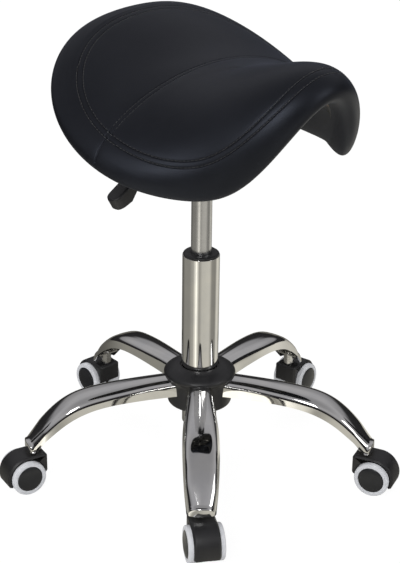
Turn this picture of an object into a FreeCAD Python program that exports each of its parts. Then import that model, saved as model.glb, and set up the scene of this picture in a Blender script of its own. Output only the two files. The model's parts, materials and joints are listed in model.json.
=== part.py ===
import FreeCAD, Part
import math
import os
import re
import Sketcher
from FreeCAD import Placement, Rotation, Vector

# Saddle stool on a five-arm chromed base with a gas lift and twin-wheel castors.
# Millimetres, +Z up. The origin is on the floor under the column axis, the pommel of the
# saddle faces -Y, and the seat is symmetric about X = 0. The lift lever is on the -X side.

doc = FreeCAD.newDocument("saddle_stool")

# Driving dimensions. Each one becomes a named cell of the sheet.

SIZES = {
    # star base
    "arm_count": 5,
    "first_arm_angle": -44.0,
    "arm_root_reach": 22.0,
    "arm_tip_reach": 249.0,
    "arm_end_wall": 6.0,
    "arm_wall": 2.0,
    "arm_lean": 1.5,
    "arm_shoulder": 7.0,
    "arm_crown": 1.0,
    "arm_shoulder_radius": 9.0,
    "arm_tip_bulge": 5.0,
    # hub: welded core and plastic cover
    "core_radius": 34.5,
    "core_bottom": 80.0,
    "core_top": 146.0,
    "cover_top": 160.0,
    "cover_collar_radius": 30.0,
    "cover_shoulder_radius": 49.4,
    "cover_shoulder_height": 136.0,
    "cover_waist_radius": 42.5,
    "cover_waist_height": 115.0,
    "cover_foot_radius": 44.8,
    "cover_foot_height": 86.0,
    "cover_wall": 2.2,
    "cover_clearance": 0.3,
    # gas lift
    "column_radius": 25.2,
    "column_wall": 2.0,
    "column_bottom": 62.0,
    "column_top": 312.4,
    "column_floor": 3.0,
    "column_taper": 1.3,
    "taper_end_gap": 1.0,
    "bush_lip": 3.6,
    "bush_lip_radius": 24.2,
    "bush_length": 82.0,
    "tube_radius": 13.9,
    "tube_wall": 1.5,
    "tube_bottom": 248.0,
    "tube_top": 490.0,
    "tube_taper": 0.66,
    "running_fit": 0.05,
    "rod_radius": 5.0,
    "rod_tail_radius": 4.0,
    "rod_end": 58.0,
    "clip_radius": 8.0,
    "clip_thickness": 1.5,
    "bearing_radius": 15.0,
    "bearing_height": 8.0,
    "buffer_radius": 12.0,
    "buffer_height": 22.0,
    "guide_length": 15.0,
    "piston_bottom": 270.0,
    "piston_height": 12.0,
    "valve_length": 16.0,
    "pin_radius": 3.0,
    "pin_reach": 6.0,
    # castors
    "castor_circle": 234.8,
    "castor_trail": 19.9,
    "wheel_radius": 24.3,
    "wheel_inner_face": 3.0,
    "tread_outer_face": 24.0,
    "tread_depth": 4.0,
    "tread_edge": 1.5,
    "disc_radius": 18.0,
    "disc_bulge": 2.5,
    "axle_radius": 3.0,
    "axle_half_length": 22.0,
    "hood_half_width": 17.5,
    "hood_gap": 1.0,
    "hood_wall": 3.3,
    "hood_front": 10.0,
    "hood_edge": 2.5,
    "hood_corner": 4.0,
    "stem_radius": 5.5,
    "stem_seat": 46.5,
    "stem_top": 73.5,
    "stem_tail_radius": 2.3,
    "stem_tail_end": 30.0,
    "socket_radius": 7.5,
    "socket_bottom": 55.5,
    "socket_top": 71.5,
    "socket_plate_half": 16.2,
    "socket_plate_front": 2.0,
    "socket_plate_back": 7.0,
    # seat mechanism
    "cup_radius": 19.0,
    "cup_bottom": 452.0,
    "plate_bottom": 507.0,
    "plate_thickness": 8.0,
    "plate_half_width": 75.0,
    "plate_half_depth": 55.0,
    "plate_corner": 12.0,
    "bolt_half_span_x": 50.0,
    "bolt_half_span_y": 35.0,
    "bolt_radius": 4.0,
    "bolt_head_radius": 6.5,
    "bolt_head_height": 5.0,
    "bolt_reach": 8.0,
    "spacer_half_width": 68.0,
    "spacer_half_depth": 48.0,
    "lever_radius": 4.0,
    "lever_pivot_x": 30.0,
    "lever_inner_end": 4.0,
    "lever_bend_x": 42.0,
    "lever_bend_radius": 14.0,
    "lever_grip_x": 135.0,
    "lever_grip_height": 441.0,
    "pivot_radius": 2.0,
    "ear_inner": 6.0,
    "ear_thickness": 3.0,
    "ear_half_length": 7.0,
    "paddle_half_width": 11.0,
    "paddle_rounding": 3.0,
    # seat shell and padding, all measured from one saddle-shaped middle surface
    "seat_centre_y": -71.06,
    "seat_centre_height": 560.0,
    "seat_half_thickness": 25.9,
    "seat_rim_share": 0.36,
    "seat_contact_gap": 0.3,
    "pan_thickness": 7.0,
    "cover_sheet_thickness": 2.0,
    "pan_edge": 0.88,
}

# Evenly spaced stations along each pressed arm, from the hub outwards: height of the crown,
# height of the open lower edge, half width, half width of the top panel.
ARM_STATIONS = [
    (137.0, 112.0, 20.0, 7.0),
    (137.0, 113.5, 20.0, 7.5),
    (137.0, 114.5, 20.3, 8.0),
    (136.0, 115.5, 22.0, 10.0),
    (134.5, 116.0, 23.5, 11.5),
    (132.0, 114.5, 24.3, 13.0),
    (128.0, 109.0, 24.5, 14.5),
    (116.5, 97.0, 23.7, 14.5),
    (94.5, 75.5, 22.0, 12.0),
    (66.0, 55.0, 18.6, 7.0),
]
ARM_STATION_NAMES = ("arm_top", "arm_foot", "arm_half", "arm_panel")

# Each castor trails a little to one side of its own arm, as it was left standing.
CASTOR_TURNS = [10.6, -7.3, -1.0, 5.9, 11.9]

# The saddle's outline and its rise and fall, as amplitudes of the turn angle's harmonics:
# the mean, once round (front to back), twice round (side to side) and so on.
SEAT_REACH_WAVES = [180.8, -53.3, -1.0, 22.8, -5.1, -0.5]
SEAT_RISE_WAVES = [-32.3, -45.1, 65.9, 14.3, 4.3, 5.9]
SEAT_INNER_RISE_WAVES = [-19.4, 34.7, -8.3]

for station, row in enumerate(ARM_STATIONS, 1):
    for name, number in zip(ARM_STATION_NAMES, row):
        SIZES[f"{name}_{station}"] = number
for order, turn in enumerate(CASTOR_TURNS, 1):
    SIZES[f"castor_turn_{order}"] = turn
for order, wave in enumerate(SEAT_REACH_WAVES):
    SIZES[f"seat_reach_{order}"] = wave
for order, wave in enumerate(SEAT_RISE_WAVES):
    SIZES[f"seat_rise_{order}"] = wave
for order, wave in enumerate(SEAT_INNER_RISE_WAVES):
    SIZES[f"seat_inner_rise_{order}"] = wave

sheet = doc.addObject("Spreadsheet::Sheet", "sizes")
for row, (name, number) in enumerate(SIZES.items(), 1):
    sheet.set(f"A{row}", name.replace("_", " "))
    sheet.set(f"B{row}", str(number))
    sheet.setAlias(f"B{row}", name)
doc.recompute()

SUB_PARTS = []


def size(name):
    """A driving dimension, read from the sheet."""
    return float(sheet.get(name))


def bound(expression):
    """The expression with each sheet name written in full, as a binding needs it."""
    return re.sub(
        r"[a-z][a-z0-9_]*",
        lambda word: "sizes." + word.group() if word.group() in SIZES else word.group(),
        str(expression),
    )


def value(expression):
    return float(sheet.evalExpression(bound(expression)))


def origin_feature(body, role):
    return next(item for item in body.Origin.OriginFeatures if item.Role == role)


def new_body(label, several_solids=False):
    body = doc.addObject("PartDesign::Body", label)
    body.Label = label
    if several_solids:
        body.AllowCompound = True
    SUB_PARTS.append(body)
    return body


def new_sketch(body, name, plane="XZ_Plane", offset="0"):
    """A sketch on one of the body's own planes, raised from it by an offset."""
    sketch = body.newObject("Sketcher::SketchObject", name)
    sketch.AttachmentSupport = (origin_feature(body, plane), [""])
    sketch.MapMode = "FlatFace"
    sketch.AttachmentOffset = Placement(Vector(0, 0, value(offset)), Rotation())
    sketch.setExpression("AttachmentOffset.Base.z", bound(offset))
    return sketch


def arc_between(start, end, radius):
    """The shorter arc from start to end. A positive radius turns anticlockwise."""
    chord = end - start
    rise = math.sqrt(max(radius * radius - chord.Length ** 2 / 4, 0.0))
    left = Vector(-chord.y, chord.x, 0).normalize()
    centre = (start + end) * 0.5 + left * math.copysign(rise, radius)
    first, last = (start, end) if radius > 0 else (end, start)
    angles = [math.atan2(corner.y - centre.y, corner.x - centre.x) for corner in (first, last)]
    circle = Part.Circle(centre, Vector(0, 0, 1), abs(radius))
    return Part.ArcOfCircle(circle, angles[0], angles[1])


def outline(sketch, corners):
    """A closed outline bound to the sheet. Each corner is (across, up) or (across, up, radius),
    where the radius is that of the arc that leads on to the next corner."""
    places = [Vector(value(corner[0]), value(corner[1]), 0) for corner in corners]
    first = sketch.GeometryCount
    ends = []
    for index, corner in enumerate(corners):
        start = places[index]
        end = places[(index + 1) % len(places)]
        radius = value(corner[2]) if len(corner) > 2 else 0
        edge = arc_between(start, end, radius) if radius else Part.LineSegment(start, end)
        sketch.addGeometry(edge, False)
        ends.append((2, 1) if radius < 0 else (1, 2))
    for index, corner in enumerate(corners):
        edge = first + index
        after = (index + 1) % len(corners)
        sketch.addConstraint(
            Sketcher.Constraint("Coincident", edge, ends[index][1], first + after, ends[after][0]))
        for kind, place, expression in (
            ("DistanceX", places[index].x, corner[0]),
            ("DistanceY", places[index].y, corner[1]),
        ):
            link = sketch.addConstraint(
                Sketcher.Constraint(kind, -1, 1, edge, ends[index][0], place))
            sketch.setExpression(f"Constraints[{link}]", bound(expression))
        if len(corner) > 2:
            link = sketch.addConstraint(
                Sketcher.Constraint("Radius", edge, abs(value(corner[2]))))
            sketch.setExpression(f"Constraints[{link}]", bound(f"abs({corner[2]})"))
    return sketch


def circle(sketch, across, up, radius):
    """A circle bound to the sheet."""
    centre = Vector(value(across), value(up), 0)
    edge = sketch.addGeometry(Part.Circle(centre, Vector(0, 0, 1), value(radius)), False)
    for kind, place, expression in (("DistanceX", centre.x, across), ("DistanceY", centre.y, up)):
        link = sketch.addConstraint(Sketcher.Constraint(kind, -1, 1, edge, 3, place))
        sketch.setExpression(f"Constraints[{link}]", bound(expression))
    link = sketch.addConstraint(Sketcher.Constraint("Radius", edge, value(radius)))
    sketch.setExpression(f"Constraints[{link}]", bound(radius))
    return sketch


def pad(body, sketch, length, both_ways=False):
    feature = body.newObject("PartDesign::Pad", sketch.Name + "_pad")
    feature.Profile = sketch
    if both_ways:
        feature.SideType = "Symmetric"
    feature.setExpression("Length", bound(length))
    return feature


def pocket(body, sketch, length, reverse=False, both_ways=False):
    """A pocket, with a check that it does take material away."""
    doc.recompute()
    before = body.Shape.Volume
    feature = body.newObject("PartDesign::Pocket", sketch.Name + "_pocket")
    feature.Profile = sketch
    if both_ways:
        feature.SideType = "Symmetric"
    feature.Reversed = reverse
    feature.setExpression("Length", bound(length))
    doc.recompute()
    if not body.Shape.Volume < before - 0.01:
        raise RuntimeError(f"{feature.Label} cuts nothing")
    return feature


def revolve(body, sketch, axis="V_Axis"):
    feature = body.newObject("PartDesign::Revolution", sketch.Name + "_turned")
    feature.Profile = sketch
    feature.ReferenceAxis = (sketch, [axis])
    feature.Angle = 360
    return feature


def around_column(body, features, count):
    """Repeats features evenly round the column axis."""
    doc.recompute()
    pattern = body.newObject("PartDesign::PolarPattern", body.Label + "_round")
    pattern.Originals = features
    pattern.Axis = (origin_feature(body, "Z_Axis"), [""])
    pattern.Angle = 360
    pattern.setExpression("Occurrences", bound(count))
    body.Tip = pattern
    return pattern


def turned_piece(label, corners):
    """A body that is one profile (radius, height) turned about the column axis."""
    body = new_body(label)
    revolve(body, outline(new_sketch(body, label + "_profile"), corners))
    return body


def turn_about_column(body, angle):
    body.Placement = Placement(Vector(), Rotation(Vector(0, 0, 1), angle))


# Star base

def arm_size(name, station):
    """A size of the arm at a station, or in proportion between two of them."""
    before = int(station)
    here = f"arm_{name}_{before}"
    if before == station:
        return here
    return f"({here} + (arm_{name}_{before + 1} - {here}) * {station - before})"


def arm_section(body, station, wall, name):
    """One cross-section of the pressed channel: leaning side walls, soft shoulders and a
    slightly crowned top panel. The cavity's section is drawn a wall inside, its shoulders cut
    straight."""
    pitch = f"((arm_tip_reach - arm_root_reach) / {len(ARM_STATIONS) - 1})"
    reach = f"arm_root_reach + {station - 1} * {pitch}"
    sketch = new_sketch(body, f"{name}_{int(station * 10)}", offset=reach)
    half = f"({arm_size('half', station)} - {wall})"
    top = f"({arm_size('top', station)} - {wall})"
    foot = f"({arm_size('foot', station)} - 2 * {wall})"
    panel = arm_size("panel", station)
    shoulder_half = f"({half} - arm_lean)"
    shoulder = f"({top} - arm_shoulder)"
    edge = f"({top} - arm_crown)"
    crown_radius = f"(({panel} ^ 2 + arm_crown ^ 2) / (2 * arm_crown))"
    outside = wall == "0"
    shoulder_arc = ("arm_shoulder_radius",) if outside else ()
    crown_arc = (crown_radius,) if outside else ()
    corners = [
        (f"-{half}", foot),
        (half, foot),
        (shoulder_half, shoulder) + shoulder_arc,
        (panel, edge) + crown_arc,
        (f"-{panel}", edge) + shoulder_arc,
        (f"-{shoulder_half}", shoulder),
    ]
    return outline(sketch, corners)


def arm_loft(body, kind, wall, stations, name):
    sections = [arm_section(body, station, wall, name) for station in stations]
    loft = body.newObject(kind, name + "_loft")
    loft.Profile = sections[0]
    loft.Sections = sections[1:]
    return loft


def base_arm(order):
    """A chromed sheet-steel channel, open below, that drops to its castor and has a bowed end
    wall. Its root is cut to the round of the hub core that it is welded to."""
    body = new_body(f"base_arm_{order}")
    name = f"arm_{order}"
    last = len(ARM_STATIONS)
    stations = list(range(1, last + 1))
    arm_loft(body, "PartDesign::AdditiveLoft", "0", stations, name)
    pitch = (size("arm_tip_reach") - size("arm_root_reach")) / (last - 1)
    inner_stations = stations[:-1] + [last - size("arm_end_wall") / pitch]
    arm_loft(body, "PartDesign::SubtractiveLoft", "arm_wall", inner_stations, name + "_cavity")
    corner = "(2 * arm_half_1)"
    bow_radius = f"(({corner} ^ 2 + (2 * arm_tip_bulge) ^ 2) / (4 * arm_tip_bulge))"
    bow = new_sketch(body, name + "_bow", plane="XY_Plane")
    outline(bow, [
        (f"-{corner}", "-(arm_tip_reach - 2 * arm_tip_bulge)", bow_radius),
        (corner, "-(arm_tip_reach - 2 * arm_tip_bulge)"),
        (corner, "-(arm_tip_reach + arm_wall)"),
        (f"-{corner}", "-(arm_tip_reach + arm_wall)"),
    ])
    pocket(body, bow, "2 * arm_top_1", reverse=True)
    root = new_sketch(body, name + "_root", plane="XY_Plane")
    circle(root, "0", "0", "core_radius")
    pocket(body, root, "2 * arm_top_1", reverse=True)
    turn_about_column(body, arm_angle(order))
    return body


def arm_angle(order):
    return size("first_arm_angle") + (order - 1) * 360.0 / size("arm_count")


TAPER_END = "(cover_top + taper_end_gap)"


def hub_core():
    """The steel sleeve with the tapered bore that the gas lift is pressed into."""
    narrowed = f"column_taper * ({TAPER_END} - core_top) / ({TAPER_END} - core_bottom)"
    return turned_piece("hub_core", [
        ("column_radius - column_taper", "core_bottom"),
        ("core_radius", "core_bottom"),
        ("core_radius", "core_top"),
        (f"column_radius - {narrowed}", "core_top"),
    ])


def hub_cover():
    """The black plastic cover: a collar at the column, a cone, a bevelled shoulder, a waist,
    and a skirt that is arched over the root of each arm."""
    wall = "cover_wall"
    bore = "(column_radius + cover_clearance)"
    body = turned_piece("hub_cover", [
        (bore, "cover_top - 1"),
        (f"{bore} + 1", "cover_top"),
        ("cover_collar_radius", "cover_top - 1.5"),
        ("cover_collar_radius + 1", "cover_top - 5"),
        ("cover_shoulder_radius - 3", "cover_shoulder_height + 5"),
        ("cover_shoulder_radius", "cover_shoulder_height"),
        ("cover_waist_radius", "cover_waist_height"),
        ("cover_foot_radius", "cover_foot_height"),
        (f"cover_foot_radius - {wall}", "cover_foot_height"),
        (f"cover_waist_radius - {wall}", "cover_waist_height"),
        (f"cover_shoulder_radius - {wall}", "cover_shoulder_height - 1"),
        (f"cover_shoulder_radius - 3 - {wall}", f"cover_shoulder_height + 5 - {wall}"),
        ("cover_collar_radius", f"cover_top - 5 - {wall}"),
        (bore, f"cover_top - 5 - {wall}"),
    ])
    arch = new_sketch(body, "cover_arch", offset="core_radius")
    half = "(arm_half_2 + cover_clearance)"
    top = "(arm_top_1 + cover_clearance)"
    outline(arch, [
        (f"-{half}", "0"),
        (half, "0"),
        (half, f"{top} - arm_shoulder", "arm_shoulder_radius"),
        (f"{half} - arm_shoulder", top),
        (f"-({half} - arm_shoulder)", top, "arm_shoulder_radius"),
        (f"-{half}", f"{top} - arm_shoulder"),
    ])
    notch = pocket(body, arch, "core_radius", reverse=True)
    around_column(body, [notch], "arm_count")
    turn_about_column(body, size("first_arm_angle"))
    return body


def castor_sockets():
    """A plain socket tube in the end of each arm, on a small plate welded across the channel."""
    body = new_body("castor_sockets", several_solids=True)
    tube = new_sketch(body, "socket_tube", plane="XY_Plane", offset="socket_bottom")
    circle(tube, "0", "-castor_circle", "socket_radius")
    circle(tube, "0", "-castor_circle", "stem_radius + running_fit")
    wall = pad(body, tube, "socket_top - socket_bottom")
    plate = new_sketch(body, "socket_plate", plane="XY_Plane", offset="socket_top - arm_wall")
    outline(plate, [
        ("-socket_plate_half", "-(castor_circle + socket_plate_front)"),
        ("socket_plate_half", "-(castor_circle + socket_plate_front)"),
        ("socket_plate_half", "-(castor_circle - socket_plate_back)"),
        ("-socket_plate_half", "-(castor_circle - socket_plate_back)"),
    ])
    circle(plate, "0", "-castor_circle", "stem_radius")
    web = pad(body, plate, "arm_wall")
    around_column(body, [wall, web], "arm_count")
    turn_about_column(body, size("first_arm_angle"))
    return body


def castor_stems():
    """The steel stems that the castors swivel on, each with a thin tail."""
    body = new_body("castor_stems", several_solids=True)
    steps = [
        ("stem_tail", "stem_tail_radius", "stem_tail_end", "stem_seat"),
        ("stem_shank", "stem_radius", "stem_seat", "stem_top"),
    ]
    features = []
    for name, radius, bottom, top in steps:
        sketch = new_sketch(body, name, plane="XY_Plane", offset=bottom)
        circle(sketch, "0", "-castor_circle", radius)
        features.append(pad(body, sketch, f"{top} - {bottom}"))
    around_column(body, features, "arm_count")
    turn_about_column(body, size("first_arm_angle"))
    return body


# Gas lift

def outer_column():
    """The chromed outer tube, with a floor. It tapers slightly from just above the hub cover
    down into the hub, and is straight above."""
    inner = "(column_radius - column_wall)"
    return turned_piece("outer_column", [
        ("rod_tail_radius + 1", "column_bottom"),
        ("column_radius - column_taper", "column_bottom"),
        ("column_radius - column_taper", "core_bottom"),
        ("column_radius", TAPER_END),
        ("column_radius", "column_top"),
        (inner, "column_top"),
        (inner, TAPER_END),
        (f"{inner} - column_taper", "core_bottom"),
        (f"{inner} - column_taper", "column_bottom + column_floor"),
        ("rod_tail_radius + 1", "column_bottom + column_floor"),
    ])


def guide_bush():
    """The black plastic bush that guides the pressure tube, with a lip on top of the column."""
    inner = "(tube_radius + running_fit)"
    outer = "(column_radius - column_wall)"
    return turned_piece("guide_bush", [
        (inner, "column_top - bush_length"),
        (outer, "column_top - bush_length"),
        (outer, "column_top"),
        ("bush_lip_radius", "column_top"),
        ("bush_lip_radius", "column_top + bush_lip - 1.5"),
        ("bush_lip_radius - 2", "column_top + bush_lip"),
        (inner, "column_top + bush_lip"),
    ])


def thrust_bearing():
    bottom = "(column_bottom + column_floor)"
    bore = "(rod_tail_radius + running_fit)"
    return turned_piece("thrust_bearing", [
        (bore, bottom),
        ("bearing_radius", bottom),
        ("bearing_radius", f"{bottom} + 2.5"),
        ("bearing_radius - 1.5", f"{bottom} + 3"),
        ("bearing_radius - 1.5", f"{bottom} + bearing_height - 3"),
        ("bearing_radius", f"{bottom} + bearing_height - 2.5"),
        ("bearing_radius", f"{bottom} + bearing_height"),
        (bore, f"{bottom} + bearing_height"),
    ])


def rubber_buffer():
    """A rubber ring on the bearing that softens the end of the seat's travel."""
    bottom = "(column_bottom + column_floor + bearing_height)"
    return turned_piece("rubber_buffer", [
        ("rod_radius + 1", bottom),
        ("buffer_radius", bottom),
        ("buffer_radius - 1.5", f"{bottom} + buffer_height"),
        ("rod_radius + 1", f"{bottom} + buffer_height"),
    ])


def retaining_clip():
    """The clip under the column that holds the piston rod's tail."""
    top = "(column_bottom - cover_clearance)"
    return turned_piece("retaining_clip", [
        ("rod_tail_radius", f"{top} - clip_thickness"),
        ("clip_radius", f"{top} - clip_thickness"),
        ("clip_radius", top),
        ("rod_tail_radius", top),
    ])


def piston_rod():
    shoulder = "(column_bottom + column_floor + bearing_height)"
    return turned_piece("piston_rod", [
        ("0", "rod_end"),
        ("rod_tail_radius - 1", "rod_end"),
        ("rod_tail_radius", "rod_end + 1"),
        ("rod_tail_radius", shoulder),
        ("rod_radius", shoulder),
        ("rod_radius", "piston_bottom + piston_height + 3"),
        ("rod_radius - 1", "piston_bottom + piston_height + 4"),
        ("0", "piston_bottom + piston_height + 4"),
    ])


def piston():
    """The piston on the rod, with a groove for its seal ring."""
    edge = "(tube_radius - tube_wall - running_fit)"
    return turned_piece("piston", [
        ("rod_radius", "piston_bottom"),
        (edge, "piston_bottom"),
        (edge, "piston_bottom + 4"),
        (f"{edge} - 1.5", "piston_bottom + 4"),
        (f"{edge} - 1.5", "piston_bottom + 7"),
        (edge, "piston_bottom + 7"),
        (edge, "piston_bottom + piston_height"),
        ("rod_radius", "piston_bottom + piston_height"),
    ])


def pressure_tube():
    """The bright inner tube that rises with the seat. Its top tapers into the seat's cup."""
    bore = "(tube_radius - tube_wall)"
    return turned_piece("pressure_tube", [
        (bore, "tube_bottom"),
        ("tube_radius - 1", "tube_bottom"),
        ("tube_radius", "tube_bottom + 1"),
        ("tube_radius", "cup_bottom"),
        ("tube_radius - tube_taper", "tube_top"),
        (f"{bore} - tube_taper", "tube_top"),
        (f"{bore} - tube_taper", "tube_top - valve_length"),
        (bore, "cup_bottom"),
    ])


def rod_guide():
    """The seal and guide that closes the tube's lower end round the piston rod."""
    return turned_piece("rod_guide", [
        ("rod_radius + running_fit", "tube_bottom"),
        ("tube_radius - tube_wall", "tube_bottom"),
        ("tube_radius - tube_wall", "tube_bottom + guide_length"),
        ("rod_radius + running_fit", "tube_bottom + guide_length"),
    ])


def valve_seat():
    """The valve body in the tube's upper end that the release pin slides in."""
    edge = "(tube_radius - tube_wall - tube_taper)"
    return turned_piece("valve_seat", [
        ("pin_radius + running_fit", "tube_top - valve_length"),
        (edge, "tube_top - valve_length"),
        (edge, "tube_top"),
        ("pin_radius + running_fit", "tube_top"),
    ])


def release_pin():
    return turned_piece("release_pin", [
        ("0", "tube_top - valve_length"),
        ("pin_radius", "tube_top - valve_length"),
        ("pin_radius", "tube_top + pin_reach - 1"),
        ("pin_radius - 1", "tube_top + pin_reach"),
        ("0", "tube_top + pin_reach"),
    ])


# Castors, each built with its stem on the Z axis and trailing toward -Y

def castor_place(order, across=0.0, along=0.0, up=0.0):
    """Where a point of the castor's own frame is on the stool."""
    arm = math.radians(arm_angle(order))
    turn = Rotation(Vector(0, 0, 1), arm_angle(order) + size(f"castor_turn_{order}"))
    stem = Vector(math.sin(arm), -math.cos(arm), 0) * size("castor_circle")
    return Placement(stem + turn.multVec(Vector(across, along, up)), turn)


def castor_housing(order):
    """The black hood over both wheels, with a web between them that carries the axle and a
    flat boss in front that turns on the stem."""
    body = new_body(f"castor_housing_{order}")
    side = new_sketch(body, f"hood_{order}_side", plane="YZ_Plane")
    arc_radius = "(wheel_radius + hood_gap + hood_wall)"
    top = f"(wheel_radius + {arc_radius})"
    drop = "(wheel_radius * 0.45)"
    arc_end = f"(-castor_trail - sqrt({arc_radius} ^ 2 - {drop} ^ 2))"
    outline(side, [
        ("hood_front", "wheel_radius * 1.1"),
        ("hood_front", f"{top} - hood_corner", "hood_corner"),
        ("hood_front - hood_corner", top),
        ("-castor_trail", top, arc_radius),
        (arc_end, f"wheel_radius - {drop}"),
        ("-castor_trail", "wheel_radius - 3 * axle_radius"),
    ])
    pad(body, side, "2 * hood_half_width", both_ways=True)
    doc.recompute()
    hood = body.Tip
    upper_edges = [
        f"Edge{index}" for index, edge in enumerate(hood.Shape.Edges, 1)
        if abs(abs(edge.CenterOfMass.x) - size("hood_half_width")) < 0.01
        and edge.CenterOfMass.z > size("wheel_radius")
    ]
    edges = body.newObject("PartDesign::Chamfer", f"hood_{order}_edges")
    edges.Base = (hood, upper_edges)
    edges.setExpression("Size", bound("hood_edge"))
    for name, sign in (("left", "-"), ("right", "")):
        well = new_sketch(body, f"well_{name}_{order}", plane="YZ_Plane",
                          offset=f"{sign}(wheel_inner_face - running_fit * 5)")
        circle(well, "-castor_trail", "wheel_radius", "wheel_radius + hood_gap")
        pocket(body, well, "hood_half_width", reverse=name == "right")
    bores = [
        ("stem_bore", "stem_radius + running_fit", "stem_seat"),
        ("tail_bore", "stem_tail_radius + running_fit", "stem_tail_end - 1"),
    ]
    for name, radius, bottom in bores:
        bore = new_sketch(body, f"{name}_{order}", plane="XY_Plane", offset=bottom)
        circle(bore, "0", "0", radius)
        pocket(body, bore, top, reverse=True)
    axle_bore = new_sketch(body, f"axle_bore_{order}", plane="YZ_Plane")
    circle(axle_bore, "-castor_trail", "wheel_radius", "axle_radius")
    pocket(body, axle_bore, "2 * hood_half_width", both_ways=True)
    body.Placement = castor_place(order)
    return body


def castor_axle(order):
    body = new_body(f"castor_axle_{order}")
    sketch = new_sketch(body, f"axle_{order}", plane="YZ_Plane")
    circle(sketch, "0", "0", "axle_radius")
    pad(body, sketch, "2 * axle_half_length", both_ways=True)
    body.Placement = castor_place(order, along=-size("castor_trail"), up=size("wheel_radius"))
    return body


def castor_wheel(order, side, sign):
    """The black wheel, turned about the axle. Its disc rises in two slopes to a flat middle."""
    body = new_body(f"wheel_{side}_{order}")
    rim = "(wheel_radius - tread_depth)"
    step = "(tread_outer_face - 3)"
    profile = [
        ("wheel_inner_face", "axle_radius + running_fit"),
        ("wheel_inner_face", rim),
        (step, rim),
        (step, "disc_radius"),
        ("tread_outer_face", "disc_radius"),
        ("tread_outer_face + disc_bulge * 0.6", "disc_radius * 0.7"),
        ("tread_outer_face + disc_bulge", "disc_radius * 0.3"),
        ("tread_outer_face + disc_bulge", "0"),
        ("axle_half_length + cover_clearance", "0"),
        ("axle_half_length + cover_clearance", "axle_radius + running_fit"),
    ]
    sketch = new_sketch(body, f"wheel_{side}_{order}_profile")
    revolve(body, outline(sketch, [mirrored(corner, sign) for corner in profile]), "H_Axis")
    body.Placement = castor_place(order, along=-size("castor_trail"), up=size("wheel_radius"))
    return body


def castor_tread(order, side, sign):
    """The pale tread ring moulded round the wheel, with eased edges."""
    body = new_body(f"tread_{side}_{order}")
    rim = "(wheel_radius - tread_depth)"
    step = "(tread_outer_face - 3)"
    profile = [
        ("wheel_inner_face", rim),
        ("wheel_inner_face", "wheel_radius - tread_edge"),
        ("wheel_inner_face + tread_edge", "wheel_radius"),
        ("tread_outer_face - tread_edge", "wheel_radius"),
        ("tread_outer_face", "wheel_radius - tread_edge"),
        ("tread_outer_face", "disc_radius"),
        (step, "disc_radius"),
        (step, rim),
    ]
    sketch = new_sketch(body, f"tread_{side}_{order}_profile")
    revolve(body, outline(sketch, [mirrored(corner, sign) for corner in profile]), "H_Axis")
    body.Placement = castor_place(order, along=-size("castor_trail"), up=size("wheel_radius"))
    return body


def mirrored(corner, sign):
    """A profile corner on the left or right side of the castor."""
    across, up = corner
    return (across, up) if sign > 0 else (f"-({across})", up)


# Seat mechanism

# The lever's rod lies just above the release pin.
LEVER_HEIGHT = "(tube_top + pin_reach + seat_contact_gap + lever_radius)"


def taper_socket():
    """The cup under the plate that the pressure tube is pressed into, slotted for the lever."""
    body = turned_piece("taper_socket", [
        ("tube_radius", "cup_bottom"),
        ("cup_radius - 1.5", "cup_bottom"),
        ("cup_radius", "cup_bottom + 1.5"),
        ("cup_radius", "plate_bottom"),
        ("tube_radius - tube_taper", "plate_bottom"),
        ("tube_radius - tube_taper", "tube_top"),
    ])
    slot = new_sketch(body, "lever_slot", plane="YZ_Plane")
    half = "(lever_radius + 0.8)"
    outline(slot, [
        (f"-{half}", "tube_top + 1"),
        (half, "tube_top + 1"),
        (half, "plate_bottom + 1"),
        (f"-{half}", "plate_bottom + 1"),
    ])
    pocket(body, slot, "2 * cup_radius")
    return body


def bolt_circles(sketch, radius):
    for across in ("-bolt_half_span_x", "bolt_half_span_x"):
        for along in ("-bolt_half_span_y", "bolt_half_span_y"):
            circle(sketch, across, along, radius)
    return sketch


def rounded_rectangle(sketch, half_width, half_depth, corner):
    inner_x = f"({half_width} - {corner})"
    inner_y = f"({half_depth} - {corner})"
    return outline(sketch, [
        (f"-{inner_x}", f"-{half_depth}"),
        (inner_x, f"-{half_depth}", corner),
        (half_width, f"-{inner_y}"),
        (half_width, inner_y, corner),
        (inner_x, half_depth),
        (f"-{inner_x}", half_depth, corner),
        (f"-{half_width}", inner_y),
        (f"-{half_width}", f"-{inner_y}", corner),
    ])


def mechanism_plate():
    """The steel plate under the seat, with two ears that carry the lever's pivot."""
    body = new_body("mechanism_plate")
    plate = new_sketch(body, "plate_outline", plane="XY_Plane", offset="plate_bottom")
    rounded_rectangle(plate, "plate_half_width", "plate_half_depth", "plate_corner")
    pad(body, plate, "plate_thickness")
    ears = new_sketch(body, "plate_ears", plane="XY_Plane", offset=f"{LEVER_HEIGHT} - 5")
    for near, far in (("ear_inner", "ear_inner + ear_thickness"),
                      ("-(ear_inner + ear_thickness)", "-ear_inner")):
        outline(ears, [
            ("-(lever_pivot_x + ear_half_length)", near),
            ("-(lever_pivot_x - ear_half_length)", near),
            ("-(lever_pivot_x - ear_half_length)", far),
            ("-(lever_pivot_x + ear_half_length)", far),
        ])
    pad(body, ears, f"plate_bottom - {LEVER_HEIGHT} + 5")
    holes = new_sketch(body, "plate_holes", plane="XY_Plane", offset="plate_bottom")
    bolt_circles(holes, "bolt_radius")
    pocket(body, holes, "plate_thickness", reverse=True)
    pivot = new_sketch(body, "ear_holes")
    circle(pivot, "-lever_pivot_x", LEVER_HEIGHT, "pivot_radius")
    pocket(body, pivot, "2 * (ear_inner + ear_thickness)", both_ways=True)
    return body


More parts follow.
